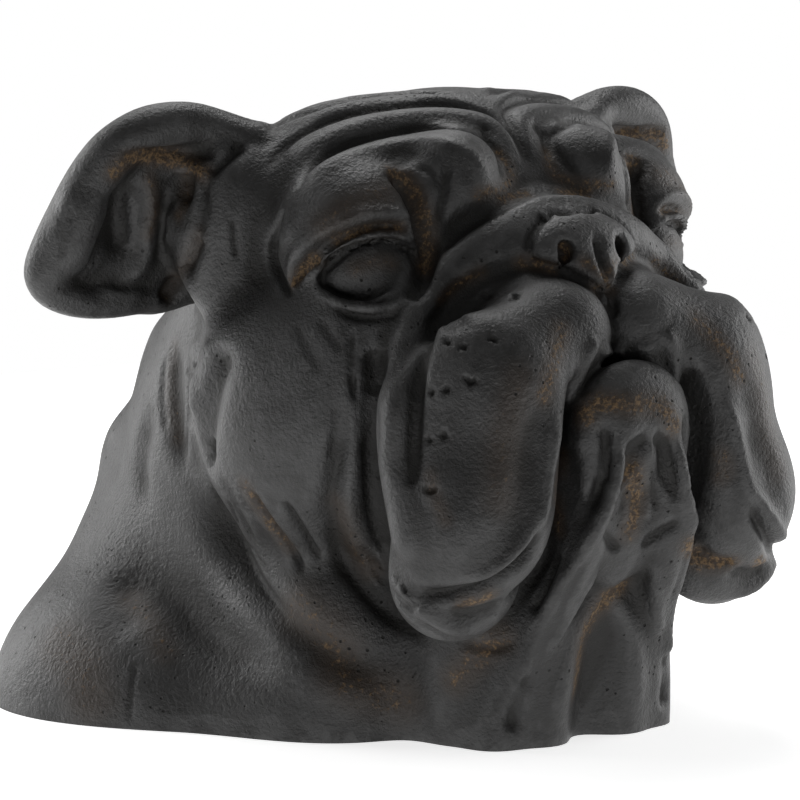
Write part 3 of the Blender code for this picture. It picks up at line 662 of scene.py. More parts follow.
# %% Nose roll
NOSE_ROLL = [(690, 262), (665, 232), (640, 212), (610, 200), (572, 198), (530, 210), (497, 232), (455, 262),
             (419, 305), (401, 350), (393, 400), (392, 445), (396, 490), (404, 540)]
OUTER_CREASE = [(600, 191), (570, 187), (545, 189), (520, 195), (478, 217), (438, 246), (405, 286),
                (383, 332), (374, 380), (372, 440), (376, 500), (385, 550)]
INNER_CREASE = [(526, 262), (507, 268), (486, 276), (458, 296), (436, 324), (420, 356), (412, 400),
                (410, 440), (412, 478)]


def nose_roll(clay):
    clay.drawn_rope(NOSE_ROLL, (8, 13, 7), sunk=0.5, blend=6)
    clay.drawn_rope(OUTER_CREASE, (2.5, 4.5, 2), sunk=-0.2, blend=5, cut=True)
    clay.drawn_rope(INNER_CREASE, (2.2, 3.2, 0.8), sunk=0.1, blend=5, cut=True)
    # Nostrils
    clay.lump((14.2, 0, 0), (4, 9, 4.3), turn=(10, 0, 0), blend=2, cut=True)


print(len(NOSE_ROLL), "drawn points on the nose roll,", len(OUTER_CREASE) + len(INNER_CREASE), "beside it")

# %% [markdown]
# ## The drawn folds
# Each fold gives its line in drawing points, then its width and depth. A negative depth raises a ridge.

# %% Folds of the muzzle
NOSE_FOLDS = [
    # The top of the nose, its foot, the slit below it and the slit of the nostril
    Fold([(600, 211), (570, 210), (545, 216), (531, 235), (527, 258)], 2.4, 3, ends=0.1),
    Fold([(526, 264), (545, 266), (570, 273), (595, 285), (612, 302)], 2.2, 4, ends=0.1),
    Fold([(595, 228), (599, 250), (604, 268), (612, 290), (614, 320)], 1.8, 3, ends=0.15),
    Fold([(564, 252), (563, 262), (562, 271)], 2, 3),
]
FLEW_FOLDS = [
    # The crease under the flew, its rolled inner edge and the hollow beside that
    Fold([(543, 515), (530, 550), (500, 578), (464, 593), (432, 595), (410, 585)], 3, 5, ends=0.25),
    Fold([(598, 336), (578, 378), (560, 420), (549, 470), (542, 515), (522, 545), (492, 570), (455, 584)],
         3.4, -2.5, ends=0.15),
    Fold([(560, 370), (534, 430), (526, 480), (512, 530), (480, 555)], 7, 2.5, ends=0.3),
]
LIP_FOLDS = [
    Fold([(440, 608), (468, 616), (492, 610), (508, 598)], 4.5, 3.5, ends=0.3),
    Fold([(392, 560), (404, 592), (430, 615), (458, 629), (480, 632), (498, 626)], 3.4, -3.2, ends=0.3),
]
print(len(NOSE_FOLDS + FLEW_FOLDS + LIP_FOLDS), "folds on the muzzle")

# %% Folds of the eyes and brow
EYE_FOLDS = [
    # The crease over the upper lid, the lids' rims, the crease under the lower lid and the inner fold
    Fold([(292, 290), (300, 270), (320, 248), (344, 234), (372, 225), (400, 225), (416, 232)], 2.4, 4, left=2,
         ends=0.15),
    Fold([(302, 282), (318, 268), (340, 253), (370, 243), (398, 242), (414, 250)], 1.8, -1.8, ends=0.15),
    Fold([(316, 283), (332, 299), (360, 308), (394, 305), (414, 294)], 1.8, -1.6, ends=0.15),
    Fold([(326, 298), (345, 312), (368, 319), (402, 312)], 1.8, 1.5),
    Fold([(386, 168), (408, 188), (420, 215), (426, 250), (420, 284), (404, 304)], 4.2, 7, left=1.5,
         ends=0.15),
]
BROW_RIDGES = [
    Fold([(285, 205), (277, 230), (273, 256), (282, 282), (294, 300)], 2, 3),
    # Three ropes of skin over each brow, from the inside out
    Fold([(300, 200), (322, 172), (350, 157), (390, 148), (430, 143), (463, 152), (481, 173), (482, 200)],
         5, -2.6),
    Fold([(275, 190), (300, 156), (345, 131), (395, 118), (445, 115), (488, 123), (510, 143), (516, 178)],
         5, -2),
    Fold([(300, 126), (345, 109), (400, 101), (450, 100), (486, 106)], 4, -1),
]
BROW_CREASES = [
    Fold([(290, 200), (310, 168), (345, 145), (390, 132), (440, 127), (478, 135), (499, 157), (503, 190)],
         2.2, 2.6, ends=0.12),
    Fold([(262, 175), (290, 141), (335, 118), (390, 107), (445, 104), (486, 111), (508, 127), (522, 148),
          (530, 178)], 2.2, 2.2, ends=0.12),
    Fold([(250, 140), (290, 120), (340, 104), (385, 96), (440, 95), (474, 98)], 2.5, 1.2, left=1, right=1),
    Fold([(446, 155), (445, 180), (441, 208), (437, 232)], 2.6, 2.5, ends=0.3),
]
print(len(EYE_FOLDS), "folds round the eye,", len(BROW_RIDGES + BROW_CREASES), "on the brow")

# %% Folds of the cheeks and neck
CHEEK_FOLDS = [
    # The temple
    Fold([(262, 190), (252, 225), (252, 262), (258, 295)], 5, 1.2, ends=0.3),
    # Short wrinkles at the back of the cheek
    Fold([(218, 470), (238, 512), (262, 560)], 4, 1.5, ends=0.3),
    Fold([(248, 487), (270, 520), (292, 550), (305, 576)], 1.8, 3, left=0.6, right=0.6),
    Fold([(283, 500), (300, 526), (321, 562)], 1.8, 3, left=0.6, right=0.6),
    # The valley between the cheek and the neck
    Fold([(228, 340), (212, 385), (204, 440), (213, 492), (232, 545), (262, 598), (300, 634), (350, 662),
          (400, 676)], 8, 5, right=1, ends=0.2),
    Fold([(204, 440), (211, 486), (229, 536), (256, 586), (290, 622)], 3, 2.5, ends=0.3),
    # Long folds between the cheek and the flew
    Fold([(352, 325), (351, 360), (354, 400)], 1.6, 1.6),
    Fold([(340, 395), (342, 430), (333, 475), (329, 510), (340, 552), (366, 590), (404, 624), (448, 648)],
         4.5, 4, ends=0.25),
    Fold([(372, 345), (378, 400), (371, 445), (371, 490), (377, 535), (394, 580), (420, 615)], 4, 3.5,
         ends=0.25),
    Fold([(356, 440), (350, 500), (362, 548), (388, 590), (420, 625)], 3, -1.8, ends=0.3),
]
NECK_FOLDS = [
    Fold([(176, 330), (172, 380), (176, 430), (188, 480)], 6, 4, ends=0.3),
    Fold([(196, 340), (196, 400), (190, 470)], 4, -2, ends=0.3),
    # The rolls of the nape
    Fold([(158, 400), (143, 440), (140, 480), (150, 520)], 7, 3, ends=0.35),
    # Where the neck meets the shoulder
    Fold([(112, 520), (140, 566), (190, 612), (250, 655), (310, 690)], 12, 6, ends=0.35),
    Fold([(128, 560), (120, 600), (135, 640)], 9, 3, ends=0.35),
]
CHIN_FOLDS = [
    # The chin's side, the cord of the dewlap and the hollows on each side of it
    Fold([(604, 420), (606, 450), (601, 484), (585, 512)], 3, 3.5),
    Fold([(614, 440), (611, 488), (597, 524), (576, 562), (556, 592), (536, 630), (524, 664), (508, 727)],
         3, -2.5, ends=0.15),
    Fold([(633, 430), (632, 475), (624, 520)], 5, 2, ends=0.3),
    Fold([(656, 425), (664, 455), (672, 500)], 3, 2, ends=0.25),
    Fold([(560, 545), (548, 580), (530, 618)], 3, 2.5),
    Fold([(530, 668), (517, 695), (510, 740)], 4, 3.5, ends=0.25),
    Fold([(620, 575), (597, 595), (573, 635), (562, 690), (560, 740)], 6, -2.5, ends=0.3),
]
print(len(CHEEK_FOLDS + NECK_FOLDS + CHIN_FOLDS), "folds on the cheek, neck and chin")

# %% Folds of the ears
EAR_FOLDS = [
    # The deep hollow, the ridge round it, the groove and the pit behind the ridge
    Fold([(130, 176), (121, 205), (119, 235), (127, 266)], 6, 6, ends=0.3),
    Fold([(138, 168), (149, 190), (152, 215), (149, 245), (138, 270), (114, 284)], 4, -3, ends=0.25),
    Fold([(162, 184), (166, 210), (163, 240), (153, 268)], 3, 2.5, ends=0.25),
    Fold([(180, 170), (184, 188), (178, 206)], 5, 5.5, ends=0.3),
    Fold([(100, 190), (86, 225), (80, 262), (84, 286)], 9, -4, ends=0.3),
    # The crease inside the rim, and the crease where the ear meets the temple
    Fold([(118, 160), (142, 153), (180, 152), (226, 157)], 3, 2.5, ends=0.2),
    Fold([(246, 140), (226, 157), (204, 176)], 3, 4),
    Fold([(206, 172), (201, 205), (197, 240)], 3, 2),
    Fold([(198, 232), (184, 268), (162, 304)], 4, 5, ends=0.25),
]
print(len(EAR_FOLDS), "folds in the ear")

# %% [markdown]
# ## From clay to mesh
# The masses are pressed together in order, skinned, and pressed with the folds, one group after another.
# Each group is thrown on the skin as the last one left it, so a line drawn on a ridge lands on the ridge.

# %% Sculpting
FOLDS = [
    NOSE_FOLDS + FLEW_FOLDS,
    LIP_FOLDS + EYE_FOLDS + BROW_RIDGES,
    BROW_CREASES + CHEEK_FOLDS + NECK_FOLDS + CHIN_FOLDS,
    EAR_FOLDS,
]

# The box that the figure lies in, in figure units
LOWEST = np.array([-186.0, -312.0, -NOSE_ABOVE_CUT - CLAY_BELOW_CUT])
HIGHEST = np.array([186.0, 48.0, 76.0])


def sculpted(gap, groups):
    """The figure's skin, at a gap between points, with groups of folds pressed in one after another."""
    clay = Clay(floor=LOWEST[2])
    for shape in (neck_and_shoulders, skull, muzzle, chin, nose, eyes, ears, nose_roll):
        shape(clay)
    grid, start = sampled(clay, LOWEST, HIGHEST, gap)
    skin = Skin(*skinned(untied(grid, gap), start, gap))
    for folds in groups:
        for fold in folds:
            skin.fold(fold)
        skin.settle()
    return skin


print(sum(len(folds) for folds in FOLDS), "drawn folds on each side, in", len(FOLDS), "groups")

# %% Mesh of the casting
# The figure faces +y and its right is +x, so half a turn about z makes it face -Y
HALF_TURN = np.array([-1, -1, 1])


def in_metres(places):
    """Places of the figure in metres, facing -Y, with the cut at z = 0."""
    return (places * HALF_TURN + [0, 0, NOSE_ABOVE_CUT]) * UNIT


def cast_from(skin, name):
    """An object with the skin's faces."""
    mesh = bpy.data.meshes.new(name)
    mesh.from_pydata(in_metres(skin.points).tolist(), [], skin.quads.tolist())
    casting = bpy.data.objects.new(name, mesh)
    bpy.context.collection.objects.link(casting)
    return casting


def thin_out(casting, triangles):
    """Swaps the object's mesh for one of about so many triangles, which keeps most of them in the folds."""
    whole = casting.data
    whole.calc_loop_triangles()
    thin = casting.modifiers.new("thin", "DECIMATE")
    thin.ratio = triangles / len(whole.loop_triangles)
    casting.data = bpy.data.meshes.new_from_object(
        casting.evaluated_get(bpy.context.evaluated_depsgraph_get()))
    casting.modifiers.clear()
    bpy.data.meshes.remove(whole)


def cut_flat(casting):
    """Cuts the object off flat at z = 0, closes the cut and leaves only triangles."""
    mesh = bmesh.new()
    mesh.from_mesh(casting.data)
    cut = bmesh.ops.bisect_plane(mesh, geom=mesh.verts[:] + mesh.edges[:] + mesh.faces[:],
                                 plane_co=(0, 0, 0), plane_no=(0, 0, -1), clear_outer=True)
    rim = [piece for piece in cut["geom_cut"] if isinstance(piece, bmesh.types.BMEdge)]
    bmesh.ops.contextual_create(mesh, geom=rim)
    bmesh.ops.triangulate(mesh, faces=mesh.faces[:])
    mesh.to_mesh(casting.data)
    mesh.free()


def centre(casting):
    """Moves the mesh so that the middle of its box's bottom is the origin, and returns the move."""
    corners = np.array([vertex.co for vertex in casting.data.vertices])
    middle = (corners.min(axis=0) + corners.max(axis=0)) / 2
    move = Vector((-middle[0], -middle[1], -corners[:, 2].min()))
    casting.data.transform(Matrix.Translation(move))
    return move


print("the mesh is thinned to", TRIANGLES, "triangles before it is cut flat")

# %% [markdown]
# ## Fine carving
# The marks that are too small for the CAD are pressed in here: the pits that whiskers grow from, cracks in
# the surface, the edges of the lids, small wrinkles and the two teeth in the gap of the mouth. A pit is a
# very short fold.

# %% Pits, cracks and teeth
PIT_HEIGHT = 8
WHISKER_PITS = [(447, 342), (463, 347), (493, 339), (431, 392), (446, 390), (429, 440),
                (444, 436), (486, 296), (513, 297)]
DEEP_PITS = [(470, 381), (431, 490)]
CRACKS = [
    Fold([(205, 185), (208, 200), (210, 220)], 1.2, 0.8),
    Fold([(285, 205), (277, 230), (272, 255)], 1.3, 1.6),
    Fold([(354, 371), (353, 388), (355, 406)], 1.2, 1.4),
    Fold([(137, 660), (131, 692), (128, 727)], 1.4, 1.0),
]
TEETH = [
    Fold([(610, 352), (618, 349), (626, 351)], 2.2, -2.5),
    Fold([(636, 350), (644, 347), (652, 350)], 2, -2),
]


def pit(place, width, depth):
    """A fold so short that it is a pit, a little higher than it is wide."""
    x, y = place
    half = PIT_HEIGHT / 2
    return Fold([(x + 1, y - half), (x, y), (x - 1, y + half)], width, depth, ends=0.01)


PITS = [pit(place, 1.6, 2.0) for place in WHISKER_PITS] + [pit(place, 2.3, 2.6) for place in DEEP_PITS]
print(len(PITS), "pits,", len(CRACKS), "cracks and", len(TEETH), "teeth on each side")

# %% Lids and ears
LIDS = [
    # The crease over the upper lid, the upper lid's edge, and the lower lid's edge, rim and crease
    Fold([(290, 288), (312, 266), (330, 249), (352, 235), (378, 227), (402, 228)], 1.6, 2.0, ends=0.3),
    Fold([(320, 278), (335, 262), (352, 249), (375, 241), (398, 240)], 1.3, 2.0, ends=0.25),
    Fold([(320, 284), (334, 294), (352, 300), (376, 300), (392, 296)], 1.5, 2.3, ends=0.25),
    Fold([(326, 294), (338, 303), (355, 308), (376, 307), (388, 303)], 1.6, -1.8, ends=0.35),
    Fold([(334, 307), (352, 315), (372, 317), (386, 313)], 1.5, 1.6, ends=0.35),
]
EAR_CREASES = [
    Fold([(72, 205), (66, 235), (62, 262)], 1.8, 1.2),
    Fold([(168, 200), (172, 225), (166, 255)], 5, -2.5, ends=0.35),
    Fold([(126, 180), (133, 205), (134, 235), (124, 262)], 2.5, -1.4, ends=0.3),
    Fold([(90, 288), (120, 294), (150, 292)], 3, -1.8, ends=0.3),
]
print(len(LIDS), "lid folds and", len(EAR_CREASES), "ear creases")

# %% Small wrinkles
WRINKLES = [
    Fold([(232, 215), (234, 245), (236, 262)], 1.4, 1.4),
    Fold([(318, 318), (330, 335), (345, 352)], 2.2, 0.9),
    Fold([(296, 322), (306, 345), (322, 372)], 2.4, 0.8),
    Fold([(336, 400), (334, 430), (330, 462)], 1.6, 1.0),
    Fold([(378, 405), (380, 440), (378, 480)], 1.5, 1.1),
    Fold([(350, 525), (368, 560), (392, 592), (420, 612)], 1.7, 1.1),
    Fold([(372, 540), (392, 580), (420, 606)], 1.5, -1.0),
    Fold([(420, 622), (452, 640), (490, 648), (520, 640)], 2.0, 1.1),
    Fold([(548, 600), (530, 640), (512, 690)], 1.7, 1.1),
    Fold([(586, 560), (570, 590), (556, 625)], 1.7, 1.0),
    Fold([(640, 430), (650, 470), (654, 520)], 1.8, 1.2),
    Fold([(472, 132), (492, 142), (505, 160), (508, 182)], 1.8, 1.0),
    Fold([(530, 120), (545, 140), (552, 160)], 2.0, 1.2),
    Fold([(415, 168), (432, 172), (440, 190)], 1.8, 1.0),
    Fold([(228, 500), (246, 540), (268, 572)], 1.4, 1.2),
    Fold([(165, 350), (162, 395), (166, 440)], 2.2, 1.2),
    Fold([(186, 350), (188, 400), (186, 450)], 1.8, -1.2),
]
FLEW_RIM = [
    # The groove beside the flew, its rolled rim, and the rounding of its upper corner
    Fold([(430, 340), (422, 365), (417, 410), (415, 450), (417, 488)], 3.2, 2.4, ends=0.35),
    Fold([(403, 362), (396, 385), (392, 425), (391, 465), (396, 505)], 6, -2.4, ends=0.35),
    Fold([(428, 352), (434, 336), (450, 323), (470, 315)], 6, 2.2, ends=0.3),
]
CHIN_PLEATS = [
    # The pleats that hang from the chin, and the hollow under the far flew
    Fold([(578, 430), (582, 465), (590, 495)], 3.5, -1.0),
    Fold([(612, 445), (606, 480), (590, 518)], 2.4, 1.2),
    Fold([(622, 440), (617, 480), (602, 518), (580, 552)], 3.2, -2.2),
    Fold([(648, 438), (651, 480), (646, 525)], 3.5, -1.8),
    Fold([(662, 430), (672, 470), (677, 508)], 2.4, 2.2),
    Fold([(640, 548), (660, 533), (682, 522)], 2.4, 2.2),
    Fold([(655, 556), (656, 600), (660, 640)], 2.8, -2.0),
    Fold([(690, 536), (698, 552), (714, 563), (736, 565)], 4.0, 2.6),
]
FINE_FOLDS = CRACKS + TEETH + LIDS + EAR_CREASES + WRINKLES + FLEW_RIM + CHIN_PLEATS + PITS
print(len(FINE_FOLDS), "fine folds on each side")

# %% Finished mesh
skin = sculpted(GAP, FOLDS + [FINE_FOLDS])
bust = cast_from(skin, "bust")
thin_out(bust, TRIANGLES)
cut_flat(bust)
move = centre(bust)
eye = Vector(in_metres(EYE)) + move
bust.data.shade_smooth()
print(len(skin.points), "skin points,", len(bust.data.polygons), "triangles in the bust")

# %% [markdown]
# ## Where the surface is hollow
# Weather rubs ridges bare, and the hollows are darkened with painted shade. Cycles can find hollows while it
# renders, but
# here they are measured on the mesh: each point is compared with the same
# point after its neighbours have smoothed it. Below its smooth place it is in a hollow, above it on a ridge.

# %% Hollows
FINE_ROUNDS = 6
BROAD_ROUNDS = 60
MM = 1000


def smoothed_places(places, ends, rounds):
    """Places averaged with those they share an edge with, again and again."""
    count = np.bincount(ends.ravel(), minlength=len(places))[:, None] + 1
    for _ in range(rounds):
        total = places.copy()
        for side in range(3):
            total[:, side] += np.bincount(ends[:, 0], places[ends[:, 1], side], len(places))
            total[:, side] += np.bincount(ends[:, 1], places[ends[:, 0], side], len(places))
        places = total / count
    return places


def measure_hollows(casting):
    """How far each point lies below its smooth place, in millimetres, finely and broadly."""
    mesh = casting.data
    places = np.empty(len(mesh.vertices) * 3)
    mesh.vertices.foreach_get("co", places)
    places = places.reshape(-1, 3)
    out = np.empty(len(mesh.vertices) * 3)
    mesh.vertices.foreach_get("normal", out)
    out = out.reshape(-1, 3)
    ends = np.empty(len(mesh.edges) * 2, dtype=np.int32)
    mesh.edges.foreach_get("vertices", ends)
    ends = ends.reshape(-1, 2)
    fine = smoothed_places(places, ends, FINE_ROUNDS)
    broad = smoothed_places(fine, ends, BROAD_ROUNDS)
    return ((fine - places) * out).sum(axis=1) * MM, ((broad - places) * out).sum(axis=1) * MM


def give(mesh, name, values):
    """Stores a number at each point of the mesh, for the material to read."""
    layer = mesh.attributes.new(name, "FLOAT", "POINT")
    layer.data.foreach_set("value", values.astype(np.float32))


fine_hollow, broad_hollow = measure_hollows(bust)
give(bust.data, "fine_hollow", fine_hollow)
give(bust.data, "broad_hollow", broad_hollow)
print("hollows in mm:", np.percentile(fine_hollow, [1, 50, 99]).round(2),
      np.percentile(broad_hollow, [1, 50, 99]).round(2))

# %% [markdown]
# ## Rust-brown stain
# Ochre stain sits in the folds, where water stood: over the eye, round the nose, in the ear and under the
# chin, with a fainter bloom on the neck and the shoulder. The places were chosen on the drawing.
# Each is a short line thrown on the skin, and the stain fades away from it. It is on both sides of the head,
# but for the lines on the chin and the throat. The material breaks it into specks.

# %% Stain
Stain = namedtuple("Stain", "line width strength both", defaults=(True,))
STAINS = [
    # The ear, under its rim and down its hollows
    Stain([(115, 172), (128, 160), (150, 156), (180, 160), (202, 172)], 5, 0.9),
    Stain([(150, 178), (156, 205), (150, 235)], 4, 0.55),
    Stain([(188, 175), (186, 200), (178, 215)], 4, 0.6),
    Stain([(200, 235), (185, 265), (165, 295)], 5, 0.45),
    # The brow crease, the upper lid and the lid's outer corner
    Stain([(392, 172), (408, 184), (420, 205), (427, 235), (424, 270)], 5, 0.85),
    Stain([(325, 225), (350, 205), (385, 190)], 9, 0.5),
    Stain([(338, 240), (365, 231), (400, 228)], 3.5, 0.85),
    Stain([(296, 280), (305, 270), (316, 260)], 4, 0.95),
    Stain([(355, 268), (378, 262), (392, 262)], 5, 0.5),
    # Between the brows, round the nose roll and in the nostrils
    Stain([(500, 198), (515, 196), (525, 194)], 4, 0.85),
    Stain([(545, 152), (556, 175), (580, 184), (612, 186)], 4, 0.75),
    Stain([(520, 263), (535, 263), (550, 268)], 4, 0.8),
    Stain([(562, 245), (567, 252), (566, 258)], 3, 1.0),
    Stain([(440, 300), (458, 284), (480, 272)], 4, 0.65),
    Stain([(584, 262), (598, 270), (610, 290)], 4, 0.6),
    # The flew, its inner edge and the lip under it
    Stain([(562, 330), (553, 365), (544, 395)], 6, 0.7),
    Stain([(520, 380), (505, 440), (500, 500)], 10, 0.45),
    Stain([(430, 475), (437, 500), (445, 520)], 4, 0.5),
    Stain([(464, 604), (478, 602), (490, 596)], 4, 0.95),
    # The chin, the dewlap and its hollow
    Stain([(585, 415), (600, 402), (630, 405), (660, 405), (676, 425)], 6, 0.8, both=False),
    Stain([(632, 470), (636, 500), (630, 530)], 6, 0.85, both=False),
    Stain([(562, 455), (556, 490), (560, 530)], 5, 0.6),
    Stain([(620, 586), (600, 606), (582, 640), (574, 690)], 6, 0.85, both=False),
    Stain([(690, 545), (700, 560), (730, 560)], 6, 0.9, both=False),
    Stain([(500, 640), (480, 655), (455, 680)], 8, 0.65),
    # The neck and the shoulder
    Stain([(245, 485), (265, 515), (290, 545)], 5, 0.6),
    Stain([(340, 505), (352, 545), (370, 570)], 7, 0.5),
    Stain([(300, 610), (335, 640), (345, 680), (400, 700)], 13, 0.55),
    Stain([(130, 600), (150, 620), (165, 650)], 8, 0.5),
    Stain([(60, 640), (80, 665), (90, 700)], 15, 0.5),
    Stain([(175, 345), (170, 390), (178, 440)], 5, 0.4),
]
STAIN_STEP = 4
MIRROR = np.array([-1, 1, 1])


def stain(casting, stains):
    """How stained each point is, from nought to one."""
    mesh = casting.data
    tree = BVHTree.FromPolygons([vertex.co for vertex in mesh.vertices],
                                [face.vertices for face in mesh.polygons])
    places = np.array([vertex.co for vertex in mesh.vertices])
    amount = np.zeros(len(places))
    for one in stains:
        ways = sight(smooth_line(one.line, STAIN_STEP)) * HALF_TURN
        hits = [tree.ray_cast(eye, Vector(way))[0] for way in ways]
        for hit in hits:
            if hit is None:
                continue
            gap = ((places - hit) ** 2).sum(axis=1)
            if one.both:
                gap = np.minimum(gap, ((places * MIRROR - hit) ** 2).sum(axis=1))
            amount = np.maximum(amount, one.strength * np.exp(-gap / (one.width * UNIT) ** 2))
    return amount


stained = stain(bust, STAINS)
give(bust.data, "stained", stained)
print(f"{(stained > 0.3).mean():.1%} of the points are stained")

# %% [markdown]
# ## Shader maths
# A material's patterns are sums and products of noise. Typed as node calls they are hard to read, so a small
# class wraps a socket and turns Python's operators into Math nodes. Colours are mixed by Mix nodes instead,
# because a Math node would turn them grey.

# %% Shader maths
class Value:
    """A socket that carries a number, with operators that add Math nodes."""

    def __init__(self, bench, socket):
        self.bench, self.socket = bench, socket

    def math(self, operation, *others):
        """The value after a Math node."""
        node = self.bench.node("ShaderNodeMath", {"operation": operation},
                               dict(enumerate((self.socket,) + others)))
        return Value(self.bench, node.outputs[0])

    def __add__(self, other):
        return self.math("ADD", other)

    def __sub__(self, other):
        return self.math("SUBTRACT", other)

    def __mul__(self, other):
        return self.math("MULTIPLY", other)

    def __rsub__(self, other):
        return (self * -1) + other

    __radd__ = __add__
    __rmul__ = __mul__

    def step(self, low, high):
        """Nought below low, one above high, and a soft step between."""
        node = self.bench.node("ShaderNodeMapRange", {"interpolation_type": "SMOOTHSTEP"},
                               {"Value": self.socket, "From Min": low, "From Max": high})
        return Value(self.bench, node.outputs["Result"])


class Bench:
    """The node tree of a material or world, its shader, and the one method that adds nodes to it."""

    def __init__(self, owner, shader="Principled BSDF"):
        owner.use_nodes = True
        self.owner, self.tree = owner, owner.node_tree
        self.shader = self.tree.nodes[shader]

    def node(self, kind, settings, inputs):
        """A node of a kind, with its settings first and then what goes in its sockets."""
        made = self.tree.nodes.new(kind)
        for name, value in settings.items():
            setattr(made, name, value)
        for name, value in inputs.items():
            self.join(made.inputs[name], value)
        return made

    def join(self, socket, value):
        """Links a value to a socket, or sets the socket where the value is plain."""
        if isinstance(value, Value):
            value = value.socket
        if isinstance(value, bpy.types.NodeSocket):
            self.tree.links.new(value, socket)
        else:
            socket.default_value = value

    def attribute(self, name):
        """A number that the mesh stores at each point."""
        return Value(self, self.node("ShaderNodeAttribute", {"attribute_name": name}, {}).outputs["Fac"])

    def noise(self, scale, detail=2.0, roughness=0.5):
        """Noise that is fixed to the object. The scale is in swells to a metre."""
        inputs = {"Vector": self.place, "Scale": scale, "Detail": detail, "Roughness": roughness}
        return Value(self, self.node("ShaderNodeTexNoise", {}, inputs).outputs["Fac"])

    def mix(self, share, one, two):
        """A colour between two colours."""
        made = self.node("ShaderNodeMix", {"data_type": "RGBA"}, {})
        colours = [socket for socket in made.inputs if socket.type == "RGBA"]
        self.join(made.inputs[0], share)
        self.join(colours[0], one)
        self.join(colours[1], two)
        return next(socket for socket in made.outputs if socket.type == "RGBA")


print("shader helpers ready")

# %% [markdown]
# ## Dark cast stone
# The bust is cast in dark concrete or resin stone, nearly black, with a dull satin skin. Air bubbles
# left pinholes all over it, its ridges are rubbed to a paler grey, and ochre stain sits in the folds. The
# patterns are noises of rising fineness, from mottling a few centimetres wide to a grain that is barely felt.
# An image texture would show more, but it needs unwrapping, and noise suits stone.

# %% Patterns of the stone
bench = Bench(bpy.data.materials.new("cast_stone"))
bench.place = bench.node("ShaderNodeTexCoord", {}, {}).outputs["Object"]
coarse = bench.noise(9, detail=2).step(0.42, 0.60)
mottle = bench.noise(16, detail=4, roughness=0.6).step(0.38, 0.66)
cloud = bench.noise(70, detail=5, roughness=0.65)
knobbly = bench.noise(190, detail=3, roughness=0.6)
speck = bench.noise(420, detail=4, roughness=0.75)
stipple = bench.noise(650, detail=3, roughness=0.6)
grain = bench.noise(1800, detail=2, roughness=0.5)
print(len(bench.tree.nodes), "nodes for the patterns")

# %% [markdown]
# ## Pinholes and masks
# A pinhole is a round spot in a cell of a Voronoi pattern. Only some cells have one, by the chance in the
# cell's colour, and they come in patches. The masks say where the stone is rubbed, hollow or stained.

# %% Pinholes and masks
CELLS_TO_A_METRE = 330
cells = bench.node("ShaderNodeTexVoronoi", {"feature": "F1"},
                   {"Vector": bench.place, "Scale": CELLS_TO_A_METRE})
chance = Value(bench, bench.node("ShaderNodeSeparateColor", {}, {"Color": cells.outputs["Color"]}).outputs[0])
bubbly = bench.noise(20, detail=2).step(0.48, 0.60)
# Besides bump and roughness, the pinhole mask puts painted shade into the colour
pinhole = (1 - Value(bench, cells.outputs["Distance"]).step(0.12, 0.26)) * chance.step(0.76, 0.78) * bubbly

fine = bench.attribute("fine_hollow")
broad = bench.attribute("broad_hollow")
stained_here = bench.attribute("stained")
rubbed = (fine * -1 + cloud * 0.2).step(0.14, 0.45) * cloud.step(0.32, 0.62)
# The hollow mask also paints shade: below, it darkens the colour of the hollows as painted shade
hollow = (fine * 1.6 + broad * 0.30).step(0.05, 0.9)
rust = (stained_here * 0.6 + cloud * 0.3 + speck).step(0.97, 1.18) * stained_here.step(0.02, 0.30)
print(len(bench.tree.nodes), "nodes with the masks")

# %% [markdown]
# ## Colour, gloss and relief
# The colour is mixed layer on layer: the mottled body, the rubbed ridges, painted shade in the hollows, a
# brown film, the ochre specks and painted shade in the pinholes. The stains go on in the order they were laid
# on the real stone.
# The same masks drive roughness and bump, so a pinhole is dark with painted shade, dull and deep at once.

# %% Colour, gloss and relief
BLACK_STONE = (0.016, 0.0155, 0.015, 1)
GREY_STONE = (0.036, 0.0355, 0.035, 1)
RUBBED_STONE = (0.085, 0.085, 0.085, 1)
OCHRE = (0.175, 0.110, 0.052, 1)
UMBER = (0.046, 0.029, 0.017, 1)
# The near-black below is painted shade, for the hollows and the pinholes
PAINTED_SHADE = (0.008, 0.0072, 0.006, 1)
BUMP_DEPTH = 0.0010

colour = bench.mix(mottle * 0.55 + cloud * 0.35, BLACK_STONE, GREY_STONE)
colour = bench.mix(rubbed * 0.5, colour, RUBBED_STONE)
# Painted shade: the hollows are darkened
colour = bench.mix(hollow * 0.85, colour, PAINTED_SHADE)
colour = bench.mix(stained_here.step(0.05, 0.60) * 0.5, colour, UMBER)
colour = bench.mix(rust * 0.9, colour, bench.mix(stipple.step(0.44, 0.58), UMBER, OCHRE))
# Painted shade in the pinholes
colour = bench.mix(pinhole, colour, PAINTED_SHADE)
bench.join(bench.shader.inputs["Base Color"], colour)

roughness = 0.40 + cloud * 0.14 + rust * 0.25 + hollow * 0.12 + pinhole * 0.3
bench.join(bench.shader.inputs["Roughness"], roughness)

height = cloud * (coarse * 0.6 + 0.3) + knobbly * 0.45 + stipple * (mottle * 0.3 + 0.45)
height = height + grain * 0.15 - pinhole * 0.9
bump = bench.node("ShaderNodeBump", {}, {"Height": height, "Strength": 1.0, "Distance": BUMP_DEPTH})
bench.join(bench.shader.inputs["Normal"], bump.outputs["Normal"])
bust.data.materials.append(bench.owner)
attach(bust, "root")
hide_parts(NODE)
print(len(bench.tree.nodes), "nodes in the cast stone")

# %% [markdown]
# ## Studio
# The photograph was taken against white, with the light coming from both sides and from above, a little
# behind the bust, so its edges shine and the side that faces the camera stays dark. Three large soft lights
# do that here. The world is white where the camera sees it, and only fills a little light in elsewhere.
# The camera is the drawing's own eye, moved with the mesh.

